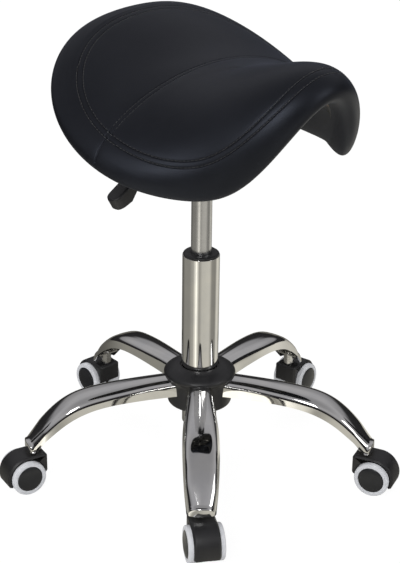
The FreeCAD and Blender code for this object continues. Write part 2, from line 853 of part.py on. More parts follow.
def mounting_bolts():
    """Four round-headed bolts up through the plate into the block."""
    body = new_body("mounting_bolts", several_solids=True)
    heads = new_sketch(body, "bolt_heads", plane="XY_Plane",
                       offset="plate_bottom - bolt_head_height")
    bolt_circles(heads, "bolt_head_radius")
    pad(body, heads, "bolt_head_height")
    shanks = new_sketch(body, "bolt_shanks", plane="XY_Plane", offset="plate_bottom")
    bolt_circles(shanks, "bolt_radius")
    pad(body, shanks, "plate_thickness + bolt_reach")
    return body


def spacer_block():
    """The wooden block between the flat plate and the curved shell: its top is cut to the
    saddle's underside, and the bolts go up into it."""
    body = new_body("spacer_blank")
    SUB_PARTS.remove(body)
    bottom = "(plate_bottom + plate_thickness)"
    blank = new_sketch(body, "spacer_outline", plane="XY_Plane", offset=bottom)
    rounded_rectangle(blank, "spacer_half_width", "spacer_half_depth", "plate_corner")
    pad(body, blank, f"seat_centre_height - {bottom}")
    holes = new_sketch(body, "spacer_holes", plane="XY_Plane", offset=bottom)
    bolt_circles(holes, "bolt_radius")
    pocket(body, holes, "bolt_reach", reverse=True)
    saddle = saddle_piece(
        "spacer_top_cutter", layer(size("seat_half_thickness")),
        layer(-size("seat_half_thickness") - size("seat_contact_gap")), size("pan_edge"))
    block = doc.addObject("Part::Cut", "spacer_block")
    block.Label = "spacer_block"
    block.Base = body
    block.Tool = saddle
    SUB_PARTS.append(block)
    return block


def lever_rod():
    """A round steel rod: level over the release pin, then bent down to the grip."""
    body = new_body("lever_rod")
    path = new_sketch(body, "lever_path")
    inner = Vector(value("lever_inner_end"), value(LEVER_HEIGHT), 0)
    bend = Vector(value("-lever_bend_x"), value(LEVER_HEIGHT), 0)
    grip = Vector(value("-lever_grip_x"), value("lever_grip_height"), 0)
    straight = (inner - bend).normalize()
    slope = (grip - bend).normalize()
    half_turn = straight.getAngle(slope) / 2
    setback = size("lever_bend_radius") / math.tan(half_turn)
    start = bend + straight * setback
    end = bend + slope * setback
    path.addGeometry(Part.LineSegment(inner, start), False)
    path.addGeometry(arc_between(start, end, size("lever_bend_radius")), False)
    path.addGeometry(Part.LineSegment(end, grip), False)
    section = new_sketch(body, "lever_section", plane="YZ_Plane", offset="lever_inner_end")
    circle(section, "0", LEVER_HEIGHT, "lever_radius")
    doc.recompute()
    pipe = body.newObject("PartDesign::AdditivePipe", "lever_bar")
    pipe.Profile = section
    pipe.Spine = path
    hole = new_sketch(body, "lever_pivot_hole")
    circle(hole, "-lever_pivot_x", LEVER_HEIGHT, "pivot_radius + running_fit")
    pocket(body, hole, "4 * lever_radius", both_ways=True)
    return body


def lever_pivot():
    """The pin through the two ears that the lever rocks on."""
    body = new_body("lever_pivot")
    sketch = new_sketch(body, "pivot_section")
    circle(sketch, "-lever_pivot_x", LEVER_HEIGHT, "pivot_radius")
    pad(body, sketch, "2 * (ear_inner + ear_thickness + 1)", both_ways=True)
    return body


def lever_paddle():
    """The black grip on the lever's end, a flat wedge that widens toward its rounded tip."""
    body = new_body("paddle_blank")
    SUB_PARTS.remove(body)
    side = new_sketch(body, "paddle_side")
    outline(side, [
        ("-(lever_grip_x - 17)", "lever_grip_height + 4"),
        ("-(lever_grip_x - 11)", "lever_grip_height + 14"),
        ("-(lever_grip_x + 23)", "lever_grip_height - 6", "5"),
        ("-(lever_grip_x + 26)", "lever_grip_height - 11"),
        ("-(lever_grip_x + 20)", "lever_grip_height - 22", "5"),
        ("-(lever_grip_x + 16)", "lever_grip_height - 23"),
        ("-(lever_grip_x - 3)", "lever_grip_height - 16"),
    ])
    pad(body, side, "2 * paddle_half_width", both_ways=True)
    doc.recompute()
    grip = body.Tip
    cheeks = [
        f"Face{index}" for index, face in enumerate(grip.Shape.Faces, 1)
        if abs(abs(face.CenterOfMass.y) - size("paddle_half_width")) < 0.01
    ]
    edges = body.newObject("PartDesign::Fillet", "paddle_edges")
    edges.Base = (grip, cheeks)
    edges.setExpression("Radius", bound("paddle_rounding"))
    paddle = doc.addObject("Part::Cut", "lever_paddle")
    paddle.Label = "lever_paddle"
    paddle.Base = body
    paddle.Tool = doc.getObject("lever_rod")
    SUB_PARTS.append(paddle)
    return paddle


# Saddle seat: cushion, shell and underside cover follow one middle surface

def waves(name, turn):
    """A sum of the turn angle's harmonics with the sheet's amplitudes."""
    orders = [key for key in SIZES if re.fullmatch(name + r"_\d", key)]
    return [size(key) * math.cos(order * turn) for order, key in enumerate(orders)]


def saddle_point(spread, turn):
    """A point of the middle surface. Spread is 0 at the centre and 1 at the rim. Turn is the
    angle from the pommel, round to the rider's right."""
    mean = size("seat_reach_0")
    reach = spread * (mean + (sum(waves("seat_reach", turn)) - mean) * spread ** 2)
    rise = waves("seat_rise", turn)
    powers = (2, 3, 2, 3, 4, 5)
    height = sum(wave * spread ** power for wave, power in zip(rise, powers))
    inner = waves("seat_inner_rise", turn)
    height += (inner[0] + inner[2]) * (spread ** 4 - spread ** 2)
    height += inner[1] * (spread - spread ** 3)
    across = -reach * math.sin(turn)
    along = size("seat_centre_y") - reach * math.cos(turn)
    return Vector(across, along, size("seat_centre_height") + height)


def saddle_normal(spread, turn):
    """The upward normal of the middle surface."""
    step = 0.002
    inner = max(spread - step, 0.01)
    outward = saddle_point(inner + 2 * step, turn) - saddle_point(inner, turn)
    spread = max(spread, 0.02)
    around = saddle_point(spread, turn + step) - saddle_point(spread, turn - step)
    normal = outward.cross(around).normalize()
    return normal if normal.z > 0 else normal * -1.0


def fall(spread):
    """The padding's thickness as a share of that at the centre, down to the border's at the rim."""
    return math.sqrt(1.0 - (1.0 - size("seat_rim_share") ** 2) * spread ** 6)


def saddle_offset(spread, turn, distance):
    """A point off the middle surface by the distance, thinned toward the rim."""
    return saddle_point(spread, turn) + saddle_normal(spread, turn) * (distance * fall(spread))


# Control points along each side of the net that makes a seat surface
NET_POINTS = 9


def saddle_net(offset, edge):
    """A square net of control points laid over the saddle. The square's sides follow the rim."""
    steps = [2 * index / (NET_POINTS - 1) - 1 for index in range(NET_POINTS)]
    net = []
    for along in steps:
        row = []
        for across in steps:
            side = across * math.sqrt(1 - along * along / 2)
            front = along * math.sqrt(1 - across * across / 2)
            spread = min(edge * math.hypot(side, front), edge)
            turn = math.atan2(side, front)
            row.append(saddle_offset(spread, turn, offset(spread)))
        net.append(row)
    return net


def saddle_face(offset, edge):
    spans = NET_POINTS - 3
    knots = [float(index) for index in range(spans + 1)]
    counts = [4] + [1] * (spans - 1) + [4]
    surface = Part.BSplineSurface()
    surface.buildFromPolesMultsKnots(
        saddle_net(offset, edge), counts, counts, knots, knots, False, False, 3, 3)
    return surface.toShape()


def saddle_solid(upper, lower, edge):
    """A closed solid between two offsets of the middle surface, out to the given edge. The
    offsets are functions of the spread."""
    top = saddle_face(upper, edge)
    bottom = saddle_face(lower, edge)
    faces = [top, bottom]
    faces += [Part.makeRuledSurface(*pair) for pair in zip(top.Edges, bottom.Edges)]
    shell = Part.Shell(faces)
    shell.sewShape()
    solid = Part.Solid(shell)
    solid.fix(0.01, 0.01, 0.01)
    if solid.Volume < 0:
        solid.reverse()
    return solid


def saddle_piece(label, upper, lower, edge):
    piece = doc.addObject("Part::Feature", label)
    piece.Label = label
    piece.Shape = saddle_solid(upper, lower, edge)
    piece.Placement = Placement()
    return piece


def seat_depths():
    """Where the layers under the padding lie, from the middle surface: the cover's two faces
    and the shell's two faces, from the outside in."""
    outside = -size("seat_half_thickness")
    gap = size("seat_contact_gap")
    cover_top = outside + size("cover_sheet_thickness")
    pan_bottom = cover_top + gap
    pan_top = pan_bottom + size("pan_thickness")
    return outside, cover_top, pan_bottom, pan_top


def layer(distance):
    """The offset that keeps a layer parallel to the underside, at a fixed distance above it."""
    outside = -size("seat_half_thickness")
    return lambda spread: outside + (distance - outside) / fall(spread)


def seat_cushion():
    """The padded saddle: a pommel in front, two thigh channels, flared flaps and a raised
    cantle behind, with a stitched border. A hollow below takes the shell and its cover."""
    half = size("seat_half_thickness")
    outside, cover_top, pan_bottom, pan_top = seat_depths()
    gap = size("seat_contact_gap")
    blank = saddle_piece(
        "cushion_blank", lambda spread: half, lambda spread: outside, 1.0)
    hollow = saddle_piece(
        "cushion_hollow", layer(pan_top + gap), layer(outside - half),
        size("pan_edge") + gap / 20)
    cushion = doc.addObject("Part::Cut", "seat_cushion")
    cushion.Label = "seat_cushion"
    cushion.Base = blank
    cushion.Tool = hollow
    SUB_PARTS.append(cushion)
    return cushion


def seat_pan():
    """The moulded plywood shell inside the cushion."""
    outside, cover_top, pan_bottom, pan_top = seat_depths()
    SUB_PARTS.append(saddle_piece(
        "seat_pan", layer(pan_top), layer(pan_bottom), size("pan_edge")))


def underside_cover():
    """The thin black cover under the shell."""
    outside, cover_top, pan_bottom, pan_top = seat_depths()
    SUB_PARTS.append(saddle_piece(
        "underside_cover", layer(cover_top), layer(outside), size("pan_edge")))


def check_objects():
    """Every object has to be sound before anything is written."""
    doc.recompute()
    for item in doc.Objects:
        if "Invalid" in item.State or "Error" in item.State:
            raise RuntimeError(f"{item.Label} is {item.State}")
    for part in SUB_PARTS:
        if part.Shape.isNull() or not part.Shape.isValid():
            raise RuntimeError(f"{part.Label} has no sound shape")


def export_parts():
    os.makedirs("parts", exist_ok=True)
    for part in SUB_PARTS:
        part.Shape.exportStep(f"parts/{part.Label}.step")
        box = part.Shape.BoundBox
        print(f"{part.Label}: {len(part.Shape.Solids)} solids, {part.Shape.Volume:.0f} mm3, "
              f"z {box.ZMin:.1f} to {box.ZMax:.1f}")


hub_core()
hub_cover()
for arm in range(1, int(size("arm_count")) + 1):
    base_arm(arm)
castor_sockets()
castor_stems()
for castor in range(1, int(size("arm_count")) + 1):
    castor_housing(castor)
    castor_axle(castor)
    for side, sign in (("left", -1), ("right", 1)):
        castor_wheel(castor, side, sign)
        castor_tread(castor, side, sign)
outer_column()
guide_bush()
thrust_bearing()
rubber_buffer()
retaining_clip()
piston_rod()
piston()
pressure_tube()
rod_guide()
valve_seat()
release_pin()
taper_socket()
mechanism_plate()
mounting_bolts()
spacer_block()
lever_rod()
lever_pivot()
lever_paddle()
seat_cushion()
seat_pan()
underside_cover()
check_objects()
export_parts()
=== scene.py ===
# %% [markdown]
# A saddle stool: a padded black saddle on a gas lift, a chromed star base and five castors.
# The measured model is loaded first and nothing in it is moved. Everything that follows gives
# it finishes, or puts a better made piece in the place of one of its plain solids.

# %% Load the measured model
import json
import math
import bmesh
import bpy
from mathutils import Matrix, Vector
from mathutils.bvhtree import BVHTree


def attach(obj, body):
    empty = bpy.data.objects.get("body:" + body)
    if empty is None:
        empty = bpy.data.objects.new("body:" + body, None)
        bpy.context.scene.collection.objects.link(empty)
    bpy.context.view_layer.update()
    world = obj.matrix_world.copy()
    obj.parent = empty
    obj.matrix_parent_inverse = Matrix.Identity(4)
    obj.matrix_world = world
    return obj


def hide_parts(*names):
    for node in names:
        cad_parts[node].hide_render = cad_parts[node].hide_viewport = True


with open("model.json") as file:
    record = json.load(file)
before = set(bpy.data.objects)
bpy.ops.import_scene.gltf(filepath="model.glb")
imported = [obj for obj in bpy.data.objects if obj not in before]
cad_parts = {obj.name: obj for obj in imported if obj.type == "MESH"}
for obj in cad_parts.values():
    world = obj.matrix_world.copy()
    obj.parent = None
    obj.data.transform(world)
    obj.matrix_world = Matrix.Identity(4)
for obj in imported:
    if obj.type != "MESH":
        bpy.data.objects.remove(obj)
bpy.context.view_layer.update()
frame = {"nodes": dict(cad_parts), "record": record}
scene = bpy.context.scene
MM = 0.001

# %% [markdown]
# The camera stands half a metre above the seat and looks down at the stool from the front left.
# Its place was worked out from the ring of castors and the column: a round star base seen at a
# known angle gives both the distance and the height of the eye. The photograph was cropped
# after it was taken, so the picture is shifted on the film instead of the camera being turned.

# %% Camera
camera_data = bpy.data.cameras.new("camera")
camera = bpy.data.objects.new("camera", camera_data)
scene.collection.objects.link(camera)
camera_data.sensor_fit = "HORIZONTAL"
camera_data.sensor_width = 36.0
camera_data.lens = 141.43
camera_data.shift_x = 0.0454
camera_data.shift_y = 0.0385
camera_data.clip_end = 20.0
EYE = Vector((-1.3674, -1.3634, 1.1363))
HEADING, TILT, ROLL = (math.radians(angle) for angle in (-44.33, 65.323, 0.447))
turn = Matrix.Rotation(HEADING, 4, "Z") @ Matrix.Rotation(TILT, 4, "X") @ Matrix.Rotation(ROLL, 4, "Z")
camera.matrix_world = Matrix.Translation(EYE) @ turn
scene.camera = camera
print("camera at", [round(value, 3) for value in EYE], "lens", camera_data.lens)

# %% [markdown]
# The studio is a white floor under the stool and soft lamps. The floor and the world are pure
# white for the camera, and only the soft shadow under the stool is kept. Polished metal shows
# what stands around it, so reflections see a painted room instead: a floor whose brightness
# changes with the turn about the column, a dark band at the horizon and a grey ceiling. Two
# dark cards outside the picture add streaks. Only reflections see them.

# %% Small helpers for shader trees
def shader_tree(name, inputs=(), outputs=()):
    """A node group with named sockets, ready to be filled."""
    group = bpy.data.node_groups.new(name, "ShaderNodeTree")
    for label, default in inputs:
        socket = group.interface.new_socket(label, in_out="INPUT", socket_type="NodeSocketFloat")
        socket.default_value = default
    for label in outputs:
        group.interface.new_socket(label, in_out="OUTPUT", socket_type="NodeSocketFloat")
    return group, group.nodes.new("NodeGroupInput"), group.nodes.new("NodeGroupOutput")


def add_node(tree, kind, settings=None, **values):
    """A node with its settings and the values of its named sockets. A socket as a value is linked."""
    node = tree.nodes.new("ShaderNode" + kind)
    for name, setting in (settings or {}).items():
        setattr(node, name, setting)
    for name, value in values.items():
        socket = node.inputs[int(name[1:])] if name[0] == "_" else node.inputs[name.replace("_", " ")]
        if isinstance(value, bpy.types.NodeSocket):
            tree.links.new(value, socket)
        else:
            socket.default_value = value
    return node


def fill_ramp(node, tones, tint):
    """Gives a colour ramp its places and tones, all of one tint."""
    node.color_ramp.interpolation = "EASE"
    for place, _ in tones[1:-1]:
        node.color_ramp.elements.new(place)
    for element, (_, tone) in zip(node.color_ramp.elements, tones):
        element.color = (tone * tint[0], tone * tint[1], tone * tint[2], 1)


def math_node(tree, operation, first, second=0.0, third=0.0):
    """The result of one sum on two or three numbers."""
    return add_node(tree, "Math", {"operation": operation}, _0=first, _1=second, _2=third).outputs[0]


def two_tone(tree, mask, low, high):
    """A colour between two, by a mask."""
    mix = add_node(tree, "Mix", {"data_type": "RGBA"}, Factor=mask, _6=low + (1,), _7=high + (1,))
    return mix.outputs[2]


def between(tree, mask, low, high):
    """A number between two, by a mask."""
    return add_node(tree, "MapRange", None, Value=mask, To_Min=low, To_Max=high).outputs[0]


# %% Floor and studio
FLOOR_REACH = 3.0
bpy.ops.object.select_all(action="DESELECT")
bpy.ops.mesh.primitive_plane_add(size=2 * FLOOR_REACH, location=(0, 0, 0))
floor = bpy.context.object
floor.name = "floor"
floor_finish = bpy.data.materials.new("white_floor")
floor_finish.use_nodes = True
tree = floor_finish.node_tree
tree.nodes.clear()
light_path = add_node(tree, "LightPath")
paint = add_node(tree, "BsdfDiffuse", None, Color=(0.9, 0.9, 0.9, 1))
white = add_node(tree, "Emission", None, Color=(1, 1, 1, 1), Strength=1.07)
SHADOW_KEPT = 0.12
seen = math_node(tree, "MULTIPLY", light_path.outputs["Is Camera Ray"], 1 - SHADOW_KEPT)
plain = add_node(tree, "MixShader", None, _0=seen, _1=paint.outputs[0], _2=white.outputs[0])

# The floor as polished metal sees it: brightness by the turn about the column, in shares of a
# turn, where 0.5 lies towards the picture's side.
FLOOR_TONES = [(0.0, 0.16), (0.13, 0.13), (0.2, 0.3), (0.3, 0.3), (0.37, 0.45), (0.41, 0.95), (0.427, 1.6),
               (0.443, 0.95), (0.475, 0.4), (0.53, 0.62), (0.64, 0.66), (0.7, 0.3), (0.76, 0.28),
               (0.82, 0.8), (0.88, 0.6), (0.94, 0.2), (1.0, 0.16)]
TOWARDS_PICTURE = math.radians(135.1)
turned = add_node(tree, "Mapping", None, Vector=add_node(tree, "TexCoord").outputs["Object"],
                  Rotation=(0, 0, TOWARDS_PICTURE))
around = add_node(tree, "TexGradient", {"gradient_type": "RADIAL"}, Vector=turned.outputs[0])
tones = add_node(tree, "ValToRGB", None, Fac=around.outputs["Fac"])
fill_ramp(tones, FLOOR_TONES, (1.0, 0.965, 0.86))
mirrored = add_node(tree, "Emission", None, Color=tones.outputs["Color"], Strength=1.0)
mixed = add_node(tree, "MixShader", None, _0=light_path.outputs["Is Glossy Ray"], _1=plain.outputs[0],
                 _2=mirrored.outputs[0])
add_node(tree, "OutputMaterial", None, Surface=mixed.outputs[0])
floor.data.materials.append(floor_finish)

world = bpy.data.worlds.new("studio")
scene.world = world
world.use_nodes = True
tree = world.node_tree
tree.nodes.clear()
AMBIENT = 0.42
ROOM_TONES = [(0.0, 0.02), (0.27, 0.025), (0.38, 0.32), (0.6, 0.44), (1.0, 0.3)]
light_path = add_node(tree, "LightPath")
up = add_node(tree, "SeparateXYZ", None, _0=add_node(tree, "TexCoord").outputs["Generated"]).outputs["Z"]
tones = add_node(tree, "ValToRGB", None, Fac=up)
fill_ramp(tones, ROOM_TONES, (0.97, 0.96, 1.0))
plain = add_node(tree, "Background", None, Color=(1, 1, 1, 1), Strength=AMBIENT)
room = add_node(tree, "Background", None, Color=tones.outputs["Color"], Strength=1.0)
white = add_node(tree, "Background", None, Color=(1, 1, 1, 1), Strength=1.0)
gloss = add_node(tree, "MixShader", None, _0=light_path.outputs["Is Glossy Ray"], _1=plain.outputs[0],
                 _2=room.outputs[0])
direct = math_node(tree, "MAXIMUM", light_path.outputs["Is Camera Ray"],
                   light_path.outputs["Is Transmission Ray"])
mixed = add_node(tree, "MixShader", None, _0=direct, _1=gloss.outputs[0], _2=white.outputs[0])
add_node(tree, "OutputWorld", None, Surface=mixed.outputs[0])


# %% Lamps and dark cards
def soft_lamp(name, place, width, height, power, mirrored=False, target=Vector((0, 0, 0.4))):
    """A rectangular soft lamp that faces the stool, and shows in polished metal if asked."""
    lamp = bpy.data.lights.new(name, "AREA")
    lamp.shape = "RECTANGLE"
    lamp.size, lamp.size_y, lamp.energy = width, height, power
    stand = bpy.data.objects.new(name, lamp)
    stand.visible_glossy = mirrored
    scene.collection.objects.link(stand)
    facing = (target - Vector(place)).to_track_quat("-Z", "Y").to_matrix().to_4x4()
    stand.matrix_world = Matrix.Translation(place) @ facing


soft_lamp("key_lamp", (-2.6, -0.2, 1.7), 1.2, 1.4, 20)
soft_lamp("fill_lamp", (0.9, -2.6, 1.3), 1.0, 1.4, 12, mirrored=True)
soft_lamp("top_lamp", (0.4, 1.2, 2.4), 1.2, 1.2, 12)
soft_lamp("sheen_lamp", (-2.0, -1.3, 1.9), 0.7, 0.7, 22, mirrored=True)
soft_lamp("back_lamp", (1.6, 2.2, 1.2), 1.2, 1.2, 8)

card_finish = bpy.data.materials.new("black_card")
card_finish.use_nodes = True
card_finish.node_tree.nodes["Principled BSDF"].inputs["Base Color"].default_value = (0.01, 0.01, 0.012, 1)
card_finish.node_tree.nodes["Principled BSDF"].inputs["Roughness"].default_value = 0.9


def dark_card(name, place, width, height, target=Vector((0, 0, 0.3))):
    """A card that only reflections see."""
    bpy.ops.object.select_all(action="DESELECT")
    bpy.ops.mesh.primitive_plane_add(size=1)
    card = bpy.context.object
    card.name = name
    card.data.transform(Matrix.Diagonal((width, height, 1, 1)))
    facing = (target - Vector(place)).to_track_quat("Z", "Y").to_matrix().to_4x4()
    card.data.transform(Matrix.Translation(place) @ facing)
    card.data.materials.append(card_finish)
    for ray in ("camera", "diffuse", "shadow", "transmission", "volume_scatter"):
        setattr(card, "visible_" + ray, False)


dark_card("card_right", (1.5, -0.9, 0.35), 0.5, 1.4)
dark_card("card_left_back", (-1.3, 1.3, 0.4), 0.5, 1.4)
print("lamps and cards stand around the stool")

# %% [markdown]
# Several finishes share the same effects: a fine surface grain, cloudy unevenness from
# handling, and dust that settles on upward faces. Each is built once as a group that puts out
# a mask, and every finish uses it with its own scale and strength. The fine lines round a
# honed tube are made the same way. All patterns are laid out in the object's own metres, so
# they stay still when a piece moves.

# %% Shared surface effects
def make_clouds():
    """Soft unevenness at a chosen scale, such as smudges."""
    group, given, made = shader_tree("clouds", [("Scale", 20.0), ("Contrast", 1.0)], ["Mask"])
    place = add_node(group, "TexCoord").outputs["Object"]
    noise = add_node(group, "TexNoise", None, Vector=place, Scale=given.outputs["Scale"], Detail=5.0,
                     Roughness=0.6)
    centred = math_node(group, "SUBTRACT", noise.outputs["Fac"], 0.5)
    spread = math_node(group, "MULTIPLY_ADD", centred, given.outputs["Contrast"], 0.5)
    clamp = add_node(group, "Clamp", None, Value=spread)
    group.links.new(clamp.outputs[0], made.inputs["Mask"])
    return group


def make_grain():
    """The pebbled grain of leather or of moulded plastic, as a height, and a crease mask for painted shade.
    """
    group, given, made = shader_tree("grain", [("Scale", 800.0), ("Softness", 0.5)], ["Height", "Painted_Crease_Shade"])
    place = add_node(group, "TexCoord").outputs["Object"]
    bend = add_node(group, "TexNoise", None, Vector=place, Scale=60.0, Detail=2.0)
    bent = add_node(group, "VectorMath", {"operation": "SCALE"}, _0=bend.outputs["Color"])
    bent.inputs["Scale"].default_value = 0.002
    shifted = add_node(group, "VectorMath", {"operation": "ADD"}, _0=place, _1=bent.outputs[0])
    cells = add_node(group, "TexVoronoi", {"feature": "SMOOTH_F1"}, Vector=shifted.outputs[0],
                     Scale=given.outputs["Scale"], Smoothness=given.outputs["Softness"])
    lines = add_node(group, "TexVoronoi", {"feature": "DISTANCE_TO_EDGE"}, Vector=shifted.outputs[0],
                     Scale=given.outputs["Scale"])
    fine = add_node(group, "TexNoise", None, Vector=place, Scale=3000.0, Detail=2.0)
    domed = math_node(group, "SUBTRACT", 1.0, cells.outputs["Distance"])
    height = math_node(group, "MULTIPLY_ADD", fine.outputs["Fac"], 0.25, domed)
    # The creases between the pebbles, as a mask for painted shade: the leather is coloured darker there.
    painted_crease_shade = add_node(group, "MapRange", None, Value=lines.outputs["Distance"], From_Max=0.12,
                       To_Min=1.0, To_Max=0.0)
    group.links.new(height, made.inputs["Height"])
    group.links.new(painted_crease_shade.outputs[0], made.inputs["Painted_Crease_Shade"])
    return group


def make_dust():
    """Dust that gathers where a face looks up, broken up by noise."""
    group, given, made = shader_tree("dust", [("Amount", 0.2)], ["Mask"])
    upward = add_node(group, "SeparateXYZ", None, Vector=add_node(group, "NewGeometry").outputs["Normal"])
    facing = add_node(group, "MapRange", None, Value=upward.outputs["Z"], From_Min=0.3, From_Max=1.0)
    place = add_node(group, "TexCoord").outputs["Object"]
    noise = add_node(group, "TexNoise", None, Vector=place, Scale=140.0, Detail=6.0, Roughness=0.7)
    broken = math_node(group, "MULTIPLY", facing.outputs[0], noise.outputs["Fac"])
    amount = math_node(group, "MULTIPLY", broken, given.outputs["Amount"])
    group.links.new(amount, made.inputs["Mask"])
    return group


def make_brushing():
    """Fine lines drawn round the column, as a turned or honed tube has them."""
    group, given, made = shader_tree("brushing", [("Scale", 900.0)], ["Mask"])
    place = add_node(group, "TexCoord").outputs["Object"]
    squeezed = add_node(group, "Mapping", None, Vector=place, Scale=(0.02, 0.02, 1.0))
    noise = add_node(group, "TexNoise", None, Vector=squeezed.outputs[0], Scale=given.outputs["Scale"],
                     Detail=3.0)
    group.links.new(noise.outputs["Fac"], made.inputs["Mask"])
    return group


CLOUDS, GRAIN, DUST, BRUSHING = make_clouds(), make_grain(), make_dust(), make_brushing()


def effect(tree, group, **values):
    """One of the shared groups, placed in a material with its own values."""
    node = tree.nodes.new("ShaderNodeGroup")
    node.node_tree = group
    for name, value in values.items():
        node.inputs[name].default_value = value
    return node


def new_finish(name, **sockets):
    """A material with one Principled shader and its plain values."""
    material = bpy.data.materials.new(name)
    material.use_nodes = True
    shader = material.node_tree.nodes["Principled BSDF"]
    for label, value in sockets.items():
        shader.inputs[label.replace("_", " ")].default_value = value
    return material, material.node_tree, shader


def bump(tree, shader, height, distance, strength=1.0):
    """Raises the surface by a height, over a distance in metres."""
    node = add_node(tree, "Bump", None, Height=height, Distance=distance, Strength=strength)
    tree.links.new(node.outputs[0], shader.inputs["Normal"])


print("shared effects:", [group.name for group in (CLOUDS, GRAIN, DUST, BRUSHING)])

# %% [markdown]
# The metals. Chrome is almost a mirror: a bright neutral colour, very little roughness, faint
# smudges and the slight waviness of pressed and plated sheet, which is what makes reflections
# ripple. The lift's inner tube is honed and duller. Bolts and stems are zinc plated and mottled.

# %% Metal finishes
def chrome_finish():
    """Bright chrome with faint smudges."""
    material, tree, shader = new_finish("polished_chrome", Metallic=1.0)
    smudge = effect(tree, CLOUDS, Scale=26.0, Contrast=2.2).outputs["Mask"]
    tree.links.new(between(tree, smudge, 0.03, 0.1), shader.inputs["Roughness"])
    tree.links.new(two_tone(tree, smudge, (0.8, 0.79, 0.76), (0.7, 0.7, 0.7)), shader.inputs["Base Color"])
    wave = effect(tree, CLOUDS, Scale=42.0, Contrast=1.0).outputs["Mask"]
    bump(tree, shader, wave, 0.0001, 0.12)
    return material


def tube_finish():
    """A honed steel tube with fine lines round it."""
    material, tree, shader = new_finish("honed_tube", Metallic=1.0)
    lines = effect(tree, BRUSHING, Scale=1400.0).outputs["Mask"]
    smudge = effect(tree, CLOUDS, Scale=60.0, Contrast=1.6).outputs["Mask"]
    both = math_node(tree, "MULTIPLY_ADD", lines, 0.5, math_node(tree, "MULTIPLY", smudge, 0.5))
    tree.links.new(between(tree, both, 0.16, 0.34), shader.inputs["Roughness"])
    tree.links.new(two_tone(tree, smudge, (0.66, 0.66, 0.67), (0.55, 0.55, 0.56)),
                   shader.inputs["Base Color"])
    bump(tree, shader, lines, 0.00002, 0.5)
    return material


def zinc_finish():
    """Zinc plating with a faint spangle."""
    material, tree, shader = new_finish("zinc_plated_steel", Metallic=1.0)
    spangle = effect(tree, CLOUDS, Scale=320.0, Contrast=2.5).outputs["Mask"]
    tree.links.new(between(tree, spangle, 0.16, 0.34), shader.inputs["Roughness"])
    tree.links.new(two_tone(tree, spangle, (0.74, 0.73, 0.7), (0.6, 0.6, 0.6)), shader.inputs["Base Color"])
    bump(tree, shader, spangle, 0.00006)
    return material


def black_paint_finish():
    """Sprayed paint with orange peel and a little dust."""
    material, tree, shader = new_finish("black_painted_steel")
    peel = effect(tree, CLOUDS, Scale=420.0, Contrast=1.0).outputs["Mask"]
    dust = effect(tree, DUST, Amount=0.25).outputs["Mask"]
    tree.links.new(two_tone(tree, dust, (0.012, 0.012, 0.013), (0.09, 0.088, 0.085)),
                   shader.inputs["Base Color"])
    tree.links.new(between(tree, dust, 0.3, 0.6), shader.inputs["Roughness"])
    bump(tree, shader, peel, 0.00012)
    return material


# %% [markdown]
# The plastics, the wheel tread, rubber and plywood. Moulded nylon is black with a fine pebbled
# grain and a soft shine, worn a little smoother in clouds. The tread is a white polyurethane
# ring that greys slightly where it rolls. Plywood shows its plies on every cut edge.

# %% Plastic, tread, rubber and wood finishes
def plastic_finish(name, low, high, smooth, rough, grain_scale, grain_depth):
    """Moulded black plastic between two colours and two roughnesses."""
    material, tree, shader = new_finish(name)
    grain = effect(tree, GRAIN, Scale=grain_scale, Softness=0.6)
    wear = effect(tree, CLOUDS, Scale=35.0, Contrast=1.8).outputs["Mask"]
    dust = effect(tree, DUST, Amount=0.22).outputs["Mask"]
    mask = math_node(tree, "MAXIMUM", math_node(tree, "MULTIPLY", wear, 0.4), dust)
    tree.links.new(two_tone(tree, mask, low, high), shader.inputs["Base Color"])
    tree.links.new(between(tree, wear, smooth, rough), shader.inputs["Roughness"])
    bump(tree, shader, grain.outputs["Height"], grain_depth)
    return material


def tread_finish():
    """White polyurethane, scuffed in places."""
    material, tree, shader = new_finish("white_polyurethane", Specular_IOR_Level=0.45)
    scuff = effect(tree, CLOUDS, Scale=90.0, Contrast=2.0).outputs["Mask"]
    fine = effect(tree, CLOUDS, Scale=700.0, Contrast=1.2).outputs["Mask"]
    tree.links.new(two_tone(tree, scuff, (0.74, 0.75, 0.78), (0.6, 0.61, 0.64)),
                   shader.inputs["Base Color"])
    tree.links.new(between(tree, scuff, 0.34, 0.55), shader.inputs["Roughness"])
    bump(tree, shader, fine, 0.00005)
    return material


def rubber_finish():
    """Dull rubber with a grey bloom."""
    material, tree, shader = new_finish("black_rubber")
    bloom = effect(tree, CLOUDS, Scale=150.0, Contrast=1.5).outputs["Mask"]
    tree.links.new(two_tone(tree, bloom, (0.014, 0.014, 0.014), (0.035, 0.034, 0.033)),
                   shader.inputs["Base Color"])
    tree.links.new(between(tree, bloom, 0.65, 0.85), shader.inputs["Roughness"])
    bump(tree, shader, bloom, 0.0001)
    return material


def plywood_finish():
    """Bare plywood with its figure and its plies."""
    material, tree, shader = new_finish("moulded_plywood")
    place = add_node(tree, "TexCoord").outputs["Object"]
    stretched = add_node(tree, "Mapping", None, Vector=place, Scale=(1.0, 0.08, 1.0))
    figure = add_node(tree, "TexNoise", None, Vector=stretched.outputs[0], Scale=90.0, Detail=7.0,
                      Distortion=1.2)
    plies = add_node(tree, "TexWave", {"bands_direction": "Z"}, Vector=place, Scale=110.0, Distortion=0.6)
    layered = math_node(tree, "MULTIPLY_ADD", plies.outputs["Fac"], 0.4,
                        math_node(tree, "MULTIPLY", figure.outputs["Fac"], 0.6))
    tree.links.new(two_tone(tree, layered, (0.62, 0.43, 0.25), (0.4, 0.25, 0.13)),
                   shader.inputs["Base Color"])
    tree.links.new(between(tree, figure.outputs["Fac"], 0.5, 0.75), shader.inputs["Roughness"])
    bump(tree, shader, figure.outputs["Fac"], 0.0002)
    return material


